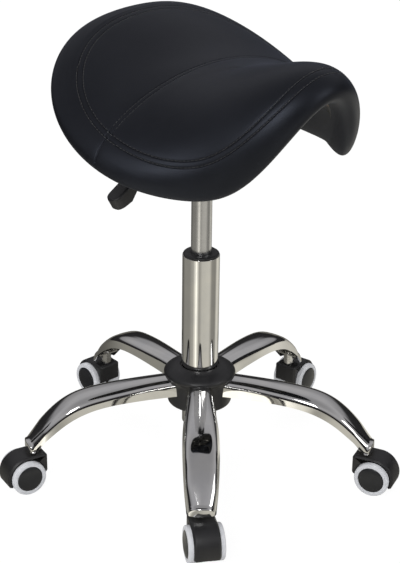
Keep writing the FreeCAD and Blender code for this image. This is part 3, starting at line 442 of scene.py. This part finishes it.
NYLON = plastic_finish("black_nylon", (0.009, 0.009, 0.01), (0.035, 0.034, 0.036),
                       smooth=0.34, rough=0.5, grain_scale=1500.0, grain_depth=0.00006)
HUBCAP = plastic_finish("black_wheel_disc", (0.008, 0.009, 0.011), (0.025, 0.026, 0.03),
                        smooth=0.3, rough=0.42, grain_scale=2600.0, grain_depth=0.00003)
FINISHES = {
    "chrome_base": chrome_finish(),
    "bright_tube": tube_finish(),
    "bright_steel": zinc_finish(),
    "black_steel": black_paint_finish(),
    "black_plastic": NYLON,
    "grey_tread": tread_finish(),
    "rubber": rubber_finish(),
    "plywood": plywood_finish(),
}
SLOT_OF = {row["node"]: row["material_slot"] for row in frame["record"]["subparts"]}
for name, node in frame["nodes"].items():
    if SLOT_OF[name] in FINISHES:
        node.data.materials.clear()
        node.data.materials.append(HUBCAP if name.startswith("wheel_") else FINISHES[SLOT_OF[name]])
print("finishes given to", sum(SLOT_OF[name] in FINISHES for name in frame["nodes"]), "nodes")

# %% [markdown]
# Real edges are never knife sharp: moulded hoods, wheel discs and pressed steel all turn their
# corners on a small radius, and it is that radius which catches the light. A copy is taken of
# each measured piece that shows, its doubled points are merged, flat faces are cleaned up, and
# a Bevel modifier rounds the corners. The copy then stands in for the plain solid.

# %% Soften the visible hard pieces
BODY_OF = {node: body for body, nodes in frame["record"]["behaviour"]["bodies"].items() for node in nodes}


def only_active(piece):
    """Makes this piece the only selected one."""
    bpy.ops.object.select_all(action="DESELECT")
    piece.hide_set(False)
    piece.select_set(True)
    bpy.context.view_layer.objects.active = piece


SAME_POINT, FLAT_BELOW = 0.000002, math.radians(0.6)
BEVEL_STEPS, CORNER_OVER, SMOOTH_BELOW = 3, math.radians(35), math.radians(32)


def softened(node, radius):
    """A copy of a measured piece with its corners rounded, which stands in for it."""
    source = frame["nodes"][node]
    piece = bpy.data.objects.new(node + "_finished", source.data.copy())
    scene.collection.objects.link(piece)
    only_active(piece)
    bpy.ops.object.mode_set(mode="EDIT")
    bpy.ops.mesh.select_all(action="SELECT")
    bpy.ops.mesh.remove_doubles(threshold=SAME_POINT)
    bpy.ops.mesh.dissolve_limited(angle_limit=FLAT_BELOW)
    bpy.ops.object.mode_set(mode="OBJECT")
    rounding = piece.modifiers.new("rounding", "BEVEL")
    rounding.width = radius * MM
    rounding.segments = BEVEL_STEPS
    rounding.limit_method = "ANGLE"
    rounding.angle_limit = CORNER_OVER
    rounding.use_clamp_overlap = True
    bpy.ops.object.modifier_apply(modifier=rounding.name)
    bpy.ops.object.shade_smooth_by_angle(angle=SMOOTH_BELOW)
    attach(piece, BODY_OF[node])
    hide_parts(node)
    return piece


# Corner radii in millimetres.
ROUNDINGS = {"castor_housing": 1.6, "wheel": 0.9, "tread": 1.1, "lever_paddle": 1.0,
             "mechanism_plate": 0.6, "taper_socket": 0.6, "guide_bush": 0.6, "outer_column": 0.4,
             "pressure_tube": 0.4, "mounting_bolts": 0.7, "hub_core": 0.8}
finished = {}
for node in frame["nodes"]:
    kind = next((key for key in ROUNDINGS if node.startswith(key)), None)
    if kind:
        finished[node] = softened(node, ROUNDINGS[kind])

# The lever's grip ends in a half round. Its copy is cut across at close steps, and each step is
# narrowed to the round.
GRIP_AXIS, GRIP_ROUND = Vector((-0.863, 0, -0.508)), 0.011
GRIP_CUTS = (0.0003, 0.001, 0.002, 0.0033, 0.0048, 0.0066, 0.0087, GRIP_ROUND)
GRIP_LEAST = 0.12
grip_mesh = finished["lever_paddle"].data
grip = bmesh.new()
grip.from_mesh(grip_mesh)
tip = max(vertex.co.dot(GRIP_AXIS) for vertex in grip.verts)
for back in GRIP_CUTS:
    bmesh.ops.bisect_plane(grip, geom=grip.verts[:] + grip.edges[:] + grip.faces[:],
                           plane_co=GRIP_AXIS * (tip - back), plane_no=GRIP_AXIS)
for vertex in grip.verts:
    back = tip - vertex.co.dot(GRIP_AXIS)
    if back < GRIP_ROUND:
        room = math.sqrt(max(GRIP_ROUND ** 2 - (GRIP_ROUND - back) ** 2, 0)) / GRIP_ROUND
        vertex.co.y *= max(room, GRIP_LEAST)
grip.to_mesh(grip_mesh)
grip.free()
print("rounded copies made:", len(finished))

# %% [markdown]
# The chromed arms mirror the whole room, so they need a skin without one uneven face. Each is
# drawn again from the measured arm's own heights and widths: a smooth curve is run along
# them, cross-sections with leaning walls, wide soft shoulders and a crowned top are set along
# it, and the end is closed by a bowed wall. A Solidify modifier gives the sheet its thickness.

# %% Pressed arms
# Even steps from the hub out: crown height, lower edge, half width, half width of the crown.
ARM_STATIONS = [(137.0, 112.0, 20.0, 2.5), (137.0, 113.5, 20.0, 2.5), (137.0, 114.5, 20.3, 3.0),
                (136.0, 115.5, 22.0, 4.5), (134.5, 116.0, 23.5, 6.0), (132.0, 114.5, 24.3, 7.0),
                (128.0, 109.0, 24.5, 7.5), (116.5, 97.0, 23.7, 7.5), (94.5, 75.5, 22.0, 6.5),
                (66.0, 55.0, 18.6, 4.5)]
ARM_ROOT, ARM_END, ARM_START = 22.0, 249.0, 34.8
ARM_BOW, ARM_LEAN, ARM_SHOULDER, ARM_SHEET = 5.0, 1.5, 11.0, 2.0
ARM_RINGS, SHOULDER_STEPS, CROWN_STEPS = 72, 9, 4
FIRST_ARM, ARM_COUNT = -44.0, 5
BROW_DROP, CORNER_DROP, CORNER_IN, WALL_STEPS = 0.35, 0.6, 1.2, 3
BOW_FROM, LAST_SHARE, SMOOTH_ARM = 0.9, 0.985, math.radians(50)
# The closed end: how far each ring shrinks towards the lower edge, and how far out it stands.
END_RINGS = ((0.985, 1.4), (0.95, 2.4), (0.89, 2.9), (0.7, 3.0), (0.45, 3.0), (0.2, 3.0))


def curve_weights(part):
    """How much each of four neighbours counts, between the middle two, on an even curve."""
    return ((1 - part) ** 3 / 6, (3 * part ** 3 - 6 * part ** 2 + 4) / 6,
            (-3 * part ** 3 + 3 * part ** 2 + 3 * part + 1) / 6, part ** 3 / 6)


def row_at(stations, share):
    """The row at a share of the way, on a curve with even curvature near every station."""
    place = share * (len(stations) - 1)
    first = min(int(place), len(stations) - 2)
    part = place - first
    padded = [[2 * a - b for a, b in zip(stations[0], stations[1])]] + [list(row) for row in stations]
    padded.append([2 * a - b for a, b in zip(stations[-1], stations[-2])])
    rows = padded[first:first + 4]
    return [sum(weight * row[column] for weight, row in zip(curve_weights(part), rows))
            for column in range(len(stations[0]))]


def arm_section(top, foot, half, crown):
    """One open cross-section, from the left foot over the crown to the right foot."""
    edge = Vector((half - ARM_LEAN, top - ARM_SHOULDER))
    corner = Vector((half - ARM_LEAN - CORNER_IN, top - CORNER_DROP))
    brow = Vector((crown, top - BROW_DROP))
    right = [(crown * step / CROWN_STEPS, top - BROW_DROP * (step / CROWN_STEPS) ** 2)
             for step in range(1, CROWN_STEPS)]
    for step in range(SHOULDER_STEPS + 1):
        part = step / SHOULDER_STEPS
        right.append(tuple(brow * (1 - part) ** 2 + corner * 2 * part * (1 - part) + edge * part ** 2))
    for step in range(1, WALL_STEPS + 1):
        down = step / WALL_STEPS
        right.append((half - ARM_LEAN * (1 - down), edge.y + (foot - edge.y) * down))
    return [(-x, z) for x, z in reversed(right)] + [(0.0, top)] + right


def build_arm(order):
    """The skin of one arm, from the hub to its closed end."""
    turn = math.radians(FIRST_ARM + 360.0 * (order - 1) / ARM_COUNT)
    out = Vector((math.sin(turn), -math.cos(turn), 0))
    across = Vector((math.cos(turn), math.sin(turn), 0))
    rings = []
    first = (ARM_START - ARM_ROOT) / (ARM_END - ARM_ROOT)
    for ring in range(ARM_RINGS + 1):
        share = first + (LAST_SHARE - first) * ring / ARM_RINGS
        rings.append((ARM_ROOT + share * (ARM_END - ARM_ROOT), arm_section(*row_at(ARM_STATIONS, share))))
    reach, last = rings[-1]
    foot, half = last[0][1], last[-1][0]
    for shrink, forward in END_RINGS:
        rings.append((reach + forward, [(x * shrink, foot + (z - foot) * shrink) for x, z in last]))
    arm = bmesh.new()
    grid = []
    for number, (reach, section) in enumerate(rings):
        bowed = min(1.0, max(0.0, (number / ARM_RINGS - BOW_FROM) / (1 - BOW_FROM)))
        grid.append([arm.verts.new((out * (reach - ARM_BOW * bowed * (x / half) ** 2)
                                    + across * x + Vector((0, 0, z))) * MM) for x, z in section])
    for near, far in zip(grid, grid[1:]):
        for index in range(len(near) - 1):
            arm.faces.new((near[index], near[index + 1], far[index + 1], far[index]))
    arm.faces.new(grid[-1])
    bmesh.ops.recalc_face_normals(arm, faces=arm.faces)
    crown_face = max(arm.faces, key=lambda face: face.calc_center_median().z)
    if crown_face.normal.z < 0:
        bmesh.ops.reverse_faces(arm, faces=arm.faces)
    mesh = bpy.data.meshes.new(f"pressed_arm_{order}")
    arm.to_mesh(mesh)
    arm.free()
    return mesh


def new_piece(name, mesh, node):
    """A finished piece in place of a measured one."""
    piece = bpy.data.objects.new(name, mesh)
    scene.collection.objects.link(piece)
    piece.data.materials.append(FINISHES[SLOT_OF[node]])
    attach(piece, BODY_OF[node])
    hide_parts(node)
    return piece


for order in range(1, ARM_COUNT + 1):
    arm = new_piece(f"pressed_arm_{order}", build_arm(order), f"base_arm_{order}")
    only_active(arm)
    sheet = arm.modifiers.new("sheet", "SOLIDIFY")
    sheet.thickness = ARM_SHEET * MM
    sheet.offset = -1.0
    bpy.ops.object.modifier_apply(modifier=sheet.name)
    bpy.ops.object.shade_smooth_by_angle(angle=SMOOTH_ARM)
print("arms drawn:", ARM_COUNT, "with", len(arm.data.polygons), "faces each")

# %% [markdown]
# The hub cover is a moulded drum: a lip at the column, a domed shoulder, a slight waist and a
# rolled foot, closed all round below the arms, which pass through its wall. One outline is
# smoothed and turned round the column.

# %% Hub cover
COVER_OUTLINE = [(25.7, 147.0), (25.8, 149.0), (26.9, 149.9), (31.0, 149.9), (38.0, 148.0), (45.0, 143.5),
                 (49.4, 139.8), (49.8, 136.3), (47.6, 133.3), (44.8, 130.2), (44.0, 124.0), (44.2, 110.0),
                 (44.5, 100.0), (44.2, 95.4), (42.6, 93.6), (41.8, 95.2), (41.7, 100.0), (41.4, 110.0),
                 (41.2, 124.0), (41.8, 130.5), (44.6, 134.2), (46.4, 136.8), (44.0, 140.2), (37.2, 144.6),
                 (30.5, 146.6)]
COVER_TURNS, COVER_STEPS = 120, 3


def smooth_loop(corners, steps):
    """A closed curve with even curvature, drawn by the corners."""
    points = []
    count = len(corners)
    for index in range(count):
        four = [corners[(index + shift - 1) % count] for shift in range(4)]
        for step in range(steps):
            weights = curve_weights(step / steps)
            points.append(tuple(sum(weight * corner[axis] for weight, corner in zip(weights, four))
                                for axis in (0, 1)))
    return points


drum = bmesh.new()
outline = smooth_loop(COVER_OUTLINE, COVER_STEPS)
grid = [[drum.verts.new((radius * MM * math.cos(math.tau * turn / COVER_TURNS),
                         radius * MM * math.sin(math.tau * turn / COVER_TURNS), height * MM))
         for radius, height in outline] for turn in range(COVER_TURNS)]
for turn in range(COVER_TURNS):
    near, far = grid[turn], grid[(turn + 1) % COVER_TURNS]
    for index in range(len(outline)):
        after = (index + 1) % len(outline)
        drum.faces.new((near[index], near[after], far[after], far[index]))
bmesh.ops.recalc_face_normals(drum, faces=drum.faces)
drum_mesh = bpy.data.meshes.new("moulded_hub_cover")
drum.to_mesh(drum_mesh)
drum.free()

# The welded sleeve inside is as short as the drum, so that nothing shows below it.
CORE_FOOT = 96.0
for vertex in finished["hub_core"].data.vertices:
    vertex.co.z = max(vertex.co.z, CORE_FOOT * MM)
hub_drum = new_piece("moulded_hub_cover", drum_mesh, "hub_cover")
only_active(hub_drum)
bpy.ops.object.shade_smooth()
print("hub cover faces:", len(hub_drum.data.polygons))

# %% [markdown]
# The seat is the heart of the stool: foam under black imitation leather, moulded over a shell
# that is bent like a saddle. Its middle surface rises and falls as the turn angle goes round,
# with a high pommel in front, two channels for the thighs and a raised cantle behind. The pad
# is drawn as rings round that surface, because the sewn border runs round with the rim, so the
# rings can be laid exactly along the seams.

# %% The saddle's middle surface
SEAT_CENTRE = Vector((0.0, -71.06, 560.03))
REACH_WAVES = (180.83, -53.28, -1.04, 22.79, -5.06, -0.48)
RISE_WAVES = (-32.27, -45.08, 65.85, 14.28, 4.28, 5.94)
RISE_POWERS = (2, 3, 2, 3, 4, 5)
INNER_MEAN, INNER_ONCE, INNER_TWICE = -19.4, 34.71, -8.32
HALF_THICKNESS = 25.0
STEP_OUT, STEP_ROUND, LEAST_LOW, LEAST_HIGH, LEAST_SPREAD = 0.003, 0.004, 0.012, 0.018, 0.03


def middle(spread, angle):
    """A point of the middle surface in millimetres. Spread is 0 at the centre and 1 at the rim,
    and the angle goes from the pommel round to the rider's right."""
    outline = sum(wave * math.cos(order * angle) for order, wave in enumerate(REACH_WAVES))
    reach = spread * (REACH_WAVES[0] + (outline - REACH_WAVES[0]) * spread ** 2)
    height = sum(wave * spread ** power * math.cos(order * angle)
                 for order, (wave, power) in enumerate(zip(RISE_WAVES, RISE_POWERS)))
    even = spread ** 4 - spread ** 2
    height += (INNER_MEAN + INNER_TWICE * math.cos(2 * angle)) * even
    height += INNER_ONCE * math.cos(angle) * (spread - spread ** 3)
    return SEAT_CENTRE + Vector((-reach * math.sin(angle), -reach * math.cos(angle), height))


def upward(spread, angle):
    """The upward normal of the middle surface."""
    low, high = max(spread - STEP_OUT, LEAST_LOW), max(spread + STEP_OUT, LEAST_HIGH)
    outward = middle(high, angle) - middle(low, angle)
    here = max(spread, LEAST_SPREAD)
    around = middle(here, angle + STEP_ROUND) - middle(here, angle - STEP_ROUND)
    normal = outward.cross(around).normalized()
    return normal if normal.z > 0 else -normal


def leather_point(lean, angle, lift=0.0):
    """A point of the leather. The lean runs from 0 at the top centre over the rounded rim at a
    quarter turn to the centre of the underside at a half turn."""
    spread = max(math.sin(lean), 0.0) ** (1 / 3)
    return middle(spread, angle) + upward(spread, angle) * (HALF_THICKNESS * math.cos(lean) + lift)


def border_spread(angle):
    """Where the seam between the seat panel and the border runs."""
    return 0.85 - 0.07 * math.cos(angle)


def run_at_border(angle):
    """Millimetres outward for each unit of spread, at the border seam."""
    centre, near = border_spread(angle), 0.005
    return (middle(centre + near, angle) - middle(centre - near, angle)).length / (2 * near)


# %% [markdown]
# The border is joined to the seat panels by a seam with a row of stitching on each side, so it
# shows as two fine grooves with a narrow flat band between. The rings near it are spaced in
# real millimetres: a groove is three close rings, the middle one pushed in.

# %% The pad's rings
TURNS = 144
GROOVE_APART = 3.6
GROOVE_HALF = 0.75
GROOVE_DEPTH = 1.3
SEAM_DIP = 0.6
SEAM_RINGS = [(-9.0, 0.35), (-5.4, 0.85), (-GROOVE_APART - GROOVE_HALF, 1.0), (-GROOVE_APART, None),
              (-GROOVE_APART + GROOVE_HALF, 1.0), (0.0, 0.9), (GROOVE_APART - GROOVE_HALF, 1.0),
              (GROOVE_APART, None), (GROOVE_APART + GROOVE_HALF, 1.0), (5.4, 0.85), (9.0, 0.35)]
PANEL_RINGS = 15
BORDER_STEPS = 3
RIM_LEANS = [math.radians(angle) for angle in (60, 70, 80, 90, 101, 112, 120, 124, 128, 134)]


def seam_rings(angle):
    """Leans and lifts of the rings that make the double seam at this angle."""
    centre, run = border_spread(angle), run_at_border(angle)
    rings = []
    for offset, dip in SEAM_RINGS:
        spread = centre + offset / run
        lift = -SEAM_DIP * dip if dip is not None else -(SEAM_DIP + GROOVE_DEPTH)
        rings.append((math.asin(spread ** 3), lift))
    return rings


def all_rings(angle):
    """Every ring's lean and lift at this angle, from the top centre to the underside."""
    seam = seam_rings(angle)
    first_spread = math.sin(seam[0][0]) ** (1 / 3)
    rings = []
    for step in range(1, PANEL_RINGS + 1):
        spread = first_spread * step / (PANEL_RINGS + 1)
        rings.append((math.asin(spread ** 3), 0.0))
    rings += seam
    last = seam[-1][0]
    for step in range(1, BORDER_STEPS + 1):
        lean = last + (RIM_LEANS[0] - last) * step / (BORDER_STEPS + 1)
        rings.append((lean, 0.0))
    rings += [(lean, 0.0) for lean in RIM_LEANS]
    return rings


def build_pad():
    """The closed pad with a point at each centre and quads between the rings."""
    columns = [all_rings(2 * math.pi * turn / TURNS) for turn in range(TURNS)]
    count = len(columns[0])
    pad = bmesh.new()
    top = pad.verts.new(leather_point(0.0, 0.0) * MM)
    grid = []
    for turn, rings in enumerate(columns):
        angle = 2 * math.pi * turn / TURNS
        grid.append([pad.verts.new(leather_point(lean, angle, lift) * MM) for lean, lift in rings])
    under = pad.verts.new(leather_point(math.pi, 0.0) * MM)
    for turn in range(TURNS):
        here, there = grid[turn], grid[(turn + 1) % TURNS]
        pad.faces.new((top, here[0], there[0]))
        for ring in range(count - 1):
            pad.faces.new((here[ring], here[ring + 1], there[ring + 1], there[ring]))
        pad.faces.new((here[-1], under, there[-1]))
    bmesh.ops.recalc_face_normals(pad, faces=pad.faces)
    mesh = bpy.data.meshes.new("seat_leather")
    pad.to_mesh(mesh)
    pad.free()
    return mesh, count


pad_mesh, ring_count = build_pad()
seat_pad = bpy.data.objects.new("seat_leather", pad_mesh)
scene.collection.objects.link(seat_pad)
print("pad rings", ring_count, "points", len(pad_mesh.vertices))

# %% [markdown]
# The foam pushes the leather out between the seams. A short Cloth simulation does that: the
# seams, the rim and the underside are pinned, a little pressure fills the panels, and no
# point may move more than a few millimetres, so the saddle keeps its measured shape.

# %% Fill the panels with a Cloth simulation
CROSS_SEAM_Y = -0.0195
PUFF_LIMIT = 0.0022
PUFF_FRAMES = 16
PIN_REACH = 0.012


def ring_of(index):
    """The ring that a pad point lies on, or None for the two centres."""
    if index == 0 or index == 1 + TURNS * ring_count:
        return None
    return (index - 1) % ring_count


def pinned_share(vertex):
    """How firmly a point is held: seams, rim and underside fully, the panels not at all."""
    ring = ring_of(vertex.index)
    if ring is None:
        return 0.0 if vertex.index == 0 else 1.0
    if ring >= PANEL_RINGS - 1:
        return 1.0
    across_seam = abs(vertex.co.y - CROSS_SEAM_Y)
    return max(0.0, 1.0 - across_seam / PIN_REACH)


held = seat_pad.vertex_groups.new(name="held")
for vertex in seat_pad.data.vertices:
    held.add([vertex.index], pinned_share(vertex), "REPLACE")
rest = [vertex.co.copy() for vertex in seat_pad.data.vertices]
cloth = seat_pad.modifiers.new("filling", "CLOTH")
cloth.settings.use_pressure = True
cloth.settings.uniform_pressure_force = 4.0
cloth.settings.vertex_group_mass = "held"
cloth.settings.quality = 6
cloth.settings.tension_stiffness = 20
cloth.settings.bending_stiffness = 2
cloth.settings.effector_weights.gravity = 0.0
cloth.point_cache.frame_end = PUFF_FRAMES
for frame_number in range(1, PUFF_FRAMES + 1):
    scene.frame_set(frame_number)
shaped = seat_pad.evaluated_get(bpy.context.evaluated_depsgraph_get()).to_mesh()
puffed = [vertex.co.copy() for vertex in shaped.vertices]
seat_pad.modifiers.remove(cloth)
scene.frame_set(1)
moved = 0.0
for vertex, before, after in zip(seat_pad.data.vertices, rest, puffed):
    push = after - before
    if push.length > PUFF_LIMIT:
        push *= PUFF_LIMIT / push.length
    vertex.co = before + push * (1.0 - pinned_share(vertex))
    moved = max(moved, push.length)
print("leather moved by up to", round(moved * 1000, 2), "mm")

only_active(seat_pad)
smoothing = seat_pad.modifiers.new("smoothing", "SUBSURF")
smoothing.levels = smoothing.render_levels = 2
bpy.ops.object.modifier_apply(modifier=smoothing.name)
print("pad faces after smoothing", len(seat_pad.data.polygons))

# %% [markdown]
# The two seat panels meet in a cross seam behind the deepest point, again with stitching on
# both sides, and one plain joint carries on over the border to the rim. The mesh is cut along
# straight planes beside the seam, and the points of each groove are pushed in.

# %% Cross seam
CROSS_APART = 2.6
CROSS_HALF = 0.9
CROSS_LINES = [-8.0, -5.0, -3.5, -2.6, -1.7, 0.0, 1.7, 2.6, 3.5, 5.0, 8.0]
BORDER_LINES = [-0.8, 0.8]
# How deep and wide the leather dips along the seam, and how deep its grooves are.
PANEL_DIP, PANEL_DIP_WIDTH, PANEL_GROOVE = 0.5, 6.0, 1.2
BORDER_DIP, BORDER_DIP_WIDTH, BORDER_GROOVE, BORDER_GROOVE_HALF = 0.4, 4.0, 1.3, 1.0
CUT_NEAR, CUT_SAME, UNDERSIDE, SLOPE_LEAST, SEAM_REACH = 0.012, 0.00002, -0.3, 0.15, 14
BORDER_MARGIN, STITCH_MARGIN, PAST_RIM, HALVINGS = 0.012, 0.03, 1.2, 24


def cross_depth(offset, inside):
    """How far the leather is pulled in at this distance from the cross seam, in metres."""
    near = abs(offset)
    if inside:
        dip = PANEL_DIP * math.exp(-((near / PANEL_DIP_WIDTH) ** 2))
        groove = PANEL_GROOVE * max(0.0, 1.0 - abs(near - CROSS_APART) / CROSS_HALF)
    else:
        dip = BORDER_DIP * math.exp(-((near / BORDER_DIP_WIDTH) ** 2))
        groove = BORDER_GROOVE * max(0.0, 1.0 - near / BORDER_GROOVE_HALF)
    return (dip + groove) * MM


pad = bmesh.new()
pad.from_mesh(seat_pad.data)
for line in CROSS_LINES + BORDER_LINES:
    place = Vector((0, CROSS_SEAM_Y + line * MM, 0))
    near = [face for face in pad.faces
            if abs(face.calc_center_median().y - place.y) < CUT_NEAR and face.normal.z > UNDERSIDE]
    edges = {edge for face in near for edge in face.edges}
    verts = {vert for face in near for vert in face.verts}
    bmesh.ops.bisect_plane(pad, geom=near + list(edges) + list(verts), plane_co=place,
                           plane_no=Vector((0, 1, 0)), dist=CUT_SAME)
pad.normal_update()


def spread_at(x, y):
    """The spread of the middle surface over a place, found by halving."""
    across, along = x / MM, y / MM - SEAT_CENTRE.y
    angle = math.atan2(-across, -along)
    outline = sum(wave * math.cos(order * angle) for order, wave in enumerate(REACH_WAVES))
    reach = math.hypot(across, along)
    low, high = 0.0, PAST_RIM
    for _ in range(HALVINGS):
        half = (low + high) / 2
        here = half * (REACH_WAVES[0] + (outline - REACH_WAVES[0]) * half ** 2)
        low, high = (half, high) if here < reach else (low, half)
    return low, angle


pushes = {}
for vert in pad.verts:
    offset = (vert.co.y - CROSS_SEAM_Y) / MM
    if abs(offset) > SEAM_REACH or vert.normal.z < SLOPE_LEAST:
        continue
    under_it = vert.co - vert.normal * HALF_THICKNESS * MM
    spread, angle = spread_at(under_it.x, under_it.y)
    inside = spread < border_spread(angle) - BORDER_MARGIN
    pushes[vert] = vert.normal * -cross_depth(offset, inside)
for vert, push in pushes.items():
    vert.co += push
pad.to_mesh(seat_pad.data)
pad.free()
seat_pad.data.update()
only_active(seat_pad)
bpy.ops.object.shade_smooth()
print("cross seam points moved:", len(pushes))

# %% [markdown]
# Every stitch is a short thread that dips in and out of the leather. One stitch is modelled as
# a small bowed spindle, then copied along the grooves at an even pitch, each copy turned to
# lie along its seam on the leather below it.

# %% Stitches
STITCH_PITCH = 5.0
STITCH_LENGTH = 3.7
THREAD_RADIUS = 0.38
THREAD_TIP, THREAD_BOW, THREAD_LIFT = 0.25, 0.28, 0.35
LINE_STEPS, CROSS_REACH, DROP_FROM = 720, 170, 0.8


def stitch_shape():
    """One stitch along X: rings of six points that swell in the middle and dip at both ends."""
    rings = []
    for share in (-1.0, -0.7, 0.0, 0.7, 1.0):
        radius = THREAD_RADIUS * (THREAD_TIP if abs(share) == 1.0 else 1.0)
        centre = Vector((share * STITCH_LENGTH / 2, 0, THREAD_BOW * (1 - share * share)))
        rings.append([centre + Vector((0, radius * math.cos(turn), radius * math.sin(turn)))
                      for turn in (math.pi * k / 3 for k in range(6))])
    points = [point * MM for ring in rings for point in ring]
    faces = [(6 * r + k, 6 * r + (k + 1) % 6, 6 * r + 6 + (k + 1) % 6, 6 * r + 6 + k)
             for r in range(4) for k in range(6)]
    faces += [tuple(range(5, -1, -1)), tuple(range(24, 30))]
    return points, faces


leather_now = bmesh.new()
leather_now.from_mesh(seat_pad.data)
leather_tree = BVHTree.FromBMesh(leather_now)
leather_now.free()


def seam_line(offset):
    """Points along one groove of the border seam, a millimetre or two apart."""
    line = []
    for step in range(LINE_STEPS):
        angle = 2 * math.pi * step / LINE_STEPS
        lean = math.asin((border_spread(angle) + offset / run_at_border(angle)) ** 3)
        line.append(leather_point(lean, angle, 0.0) * MM)
    return line + line[:1]


def cross_line(offset):
    """Points along one groove of the cross seam, dropped onto the leather."""
    line = []
    for step in range(-CROSS_REACH, CROSS_REACH + 1):
        start = Vector((step * MM, CROSS_SEAM_Y + offset * MM, DROP_FROM))
        hit = leather_tree.ray_cast(start, Vector((0, 0, -1)))
        if hit[0] is None:
            continue
        below = hit[0] - hit[1] * HALF_THICKNESS * MM
        spread, angle = spread_at(below.x, below.y)
        if spread < border_spread(angle) - STITCH_MARGIN:
            line.append(hit[0])
    return line


def evenly(line, pitch):
    """Places and directions at an even pitch along a line of points."""
    places, left = [], pitch / 2
    for start, end in zip(line, line[1:]):
        run = end - start
        length = run.length
        while left <= length and length > 0:
            places.append((start + run * (left / length), run.normalized()))
            left += pitch
        left -= length
    return places


def sew(lines):
    """One piece that holds every stitch along the lines, and how many there are."""
    shape, stitch_faces = stitch_shape()
    points, faces = [], []
    for line in lines:
        for place, along in evenly(line, STITCH_PITCH * MM):
            near, normal, _, _ = leather_tree.find_nearest(place)
            side = normal.cross(along).normalized()
            along = side.cross(normal).normalized()
            turn = Matrix((along, side, normal)).transposed()
            base = len(points)
            centre = near + normal * THREAD_RADIUS * THREAD_LIFT * MM
            points += [centre + turn @ point for point in shape]
            faces += [tuple(base + index for index in face) for face in stitch_faces]
    mesh = bpy.data.meshes.new("seat_stitches")
    mesh.from_pydata(points, [], faces)
    mesh.validate()
    stitches = bpy.data.objects.new("seat_stitches", mesh)
    scene.collection.objects.link(stitches)
    only_active(stitches)
    bpy.ops.object.mode_set(mode="EDIT")
    bpy.ops.mesh.select_all(action="SELECT")
    bpy.ops.mesh.normals_make_consistent(inside=False)
    bpy.ops.object.mode_set(mode="OBJECT")
    bpy.ops.object.shade_smooth()
    return stitches, len(points) // len(shape)


stitches, stitch_count = sew([seam_line(-GROOVE_APART), seam_line(GROOVE_APART),
                              cross_line(-CROSS_APART), cross_line(CROSS_APART)])
print("stitches sewn:", stitch_count)

# %% [markdown]
# Imitation leather is a soft satin: a black coat with a fine pebbled grain, slightly bluish
# where light grazes it, and a little smoother on the crowns that are sat on. The grain is a
# bump of a few hundredths of a millimetre. The thread is waxed polyester, twisted and matter.

# %% Leather and thread finishes
def leather_finish():
    """Black imitation leather with a pebbled grain, darker in its creases as painted shade."""
    material, tree, shader = new_finish("black_leather", Specular_IOR_Level=0.32, Sheen_Weight=0.06,
                                        Sheen_Roughness=0.4)
    shader.inputs["Sheen Tint"].default_value = (0.62, 0.7, 0.95, 1)
    shader.inputs["Specular Tint"].default_value = (0.72, 0.8, 1.0, 1)
    grain = effect(tree, GRAIN, Scale=1050.0, Softness=0.45)
    rub = effect(tree, CLOUDS, Scale=9.0, Contrast=1.8).outputs["Mask"]
    fine = effect(tree, CLOUDS, Scale=160.0, Contrast=1.0).outputs["Mask"]
    # The colour is darker in the creases of the grain, which is painted shade, and varies in soft random
    # patches.
    tone = math_node(tree, "MULTIPLY_ADD", grain.outputs["Painted_Crease_Shade"], -0.3, rub)
    tree.links.new(two_tone(tree, tone, (0.0045, 0.0046, 0.0056), (0.0095, 0.0098, 0.012)),
                   shader.inputs["Base Color"])
    uneven = math_node(tree, "MULTIPLY_ADD", fine, 0.35, math_node(tree, "MULTIPLY", rub, 0.65))
    tree.links.new(between(tree, uneven, 0.36, 0.5), shader.inputs["Roughness"])
    bump(tree, shader, grain.outputs["Height"], 0.00008, 0.7)
    return material


def thread_finish():
    """Waxed black thread."""
    material, tree, shader = new_finish("black_thread", Sheen_Weight=0.3)
    twist = effect(tree, CLOUDS, Scale=2400.0, Contrast=2.5).outputs["Mask"]
    tree.links.new(two_tone(tree, twist, (0.006, 0.006, 0.007), (0.03, 0.031, 0.034)),
                   shader.inputs["Base Color"])
    tree.links.new(between(tree, twist, 0.5, 0.75), shader.inputs["Roughness"])
    bump(tree, shader, twist, 0.0001)
    return material


seat_pad.data.materials.append(leather_finish())
stitches.data.materials.append(thread_finish())
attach(seat_pad, "seat")
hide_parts("seat_cushion")
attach(stitches, "seat")

# %% [markdown]
# Last, colour is kept as it is written.

# %% Finish
scene.view_settings.view_transform = "Standard"
bpy.ops.object.select_all(action="DESELECT")
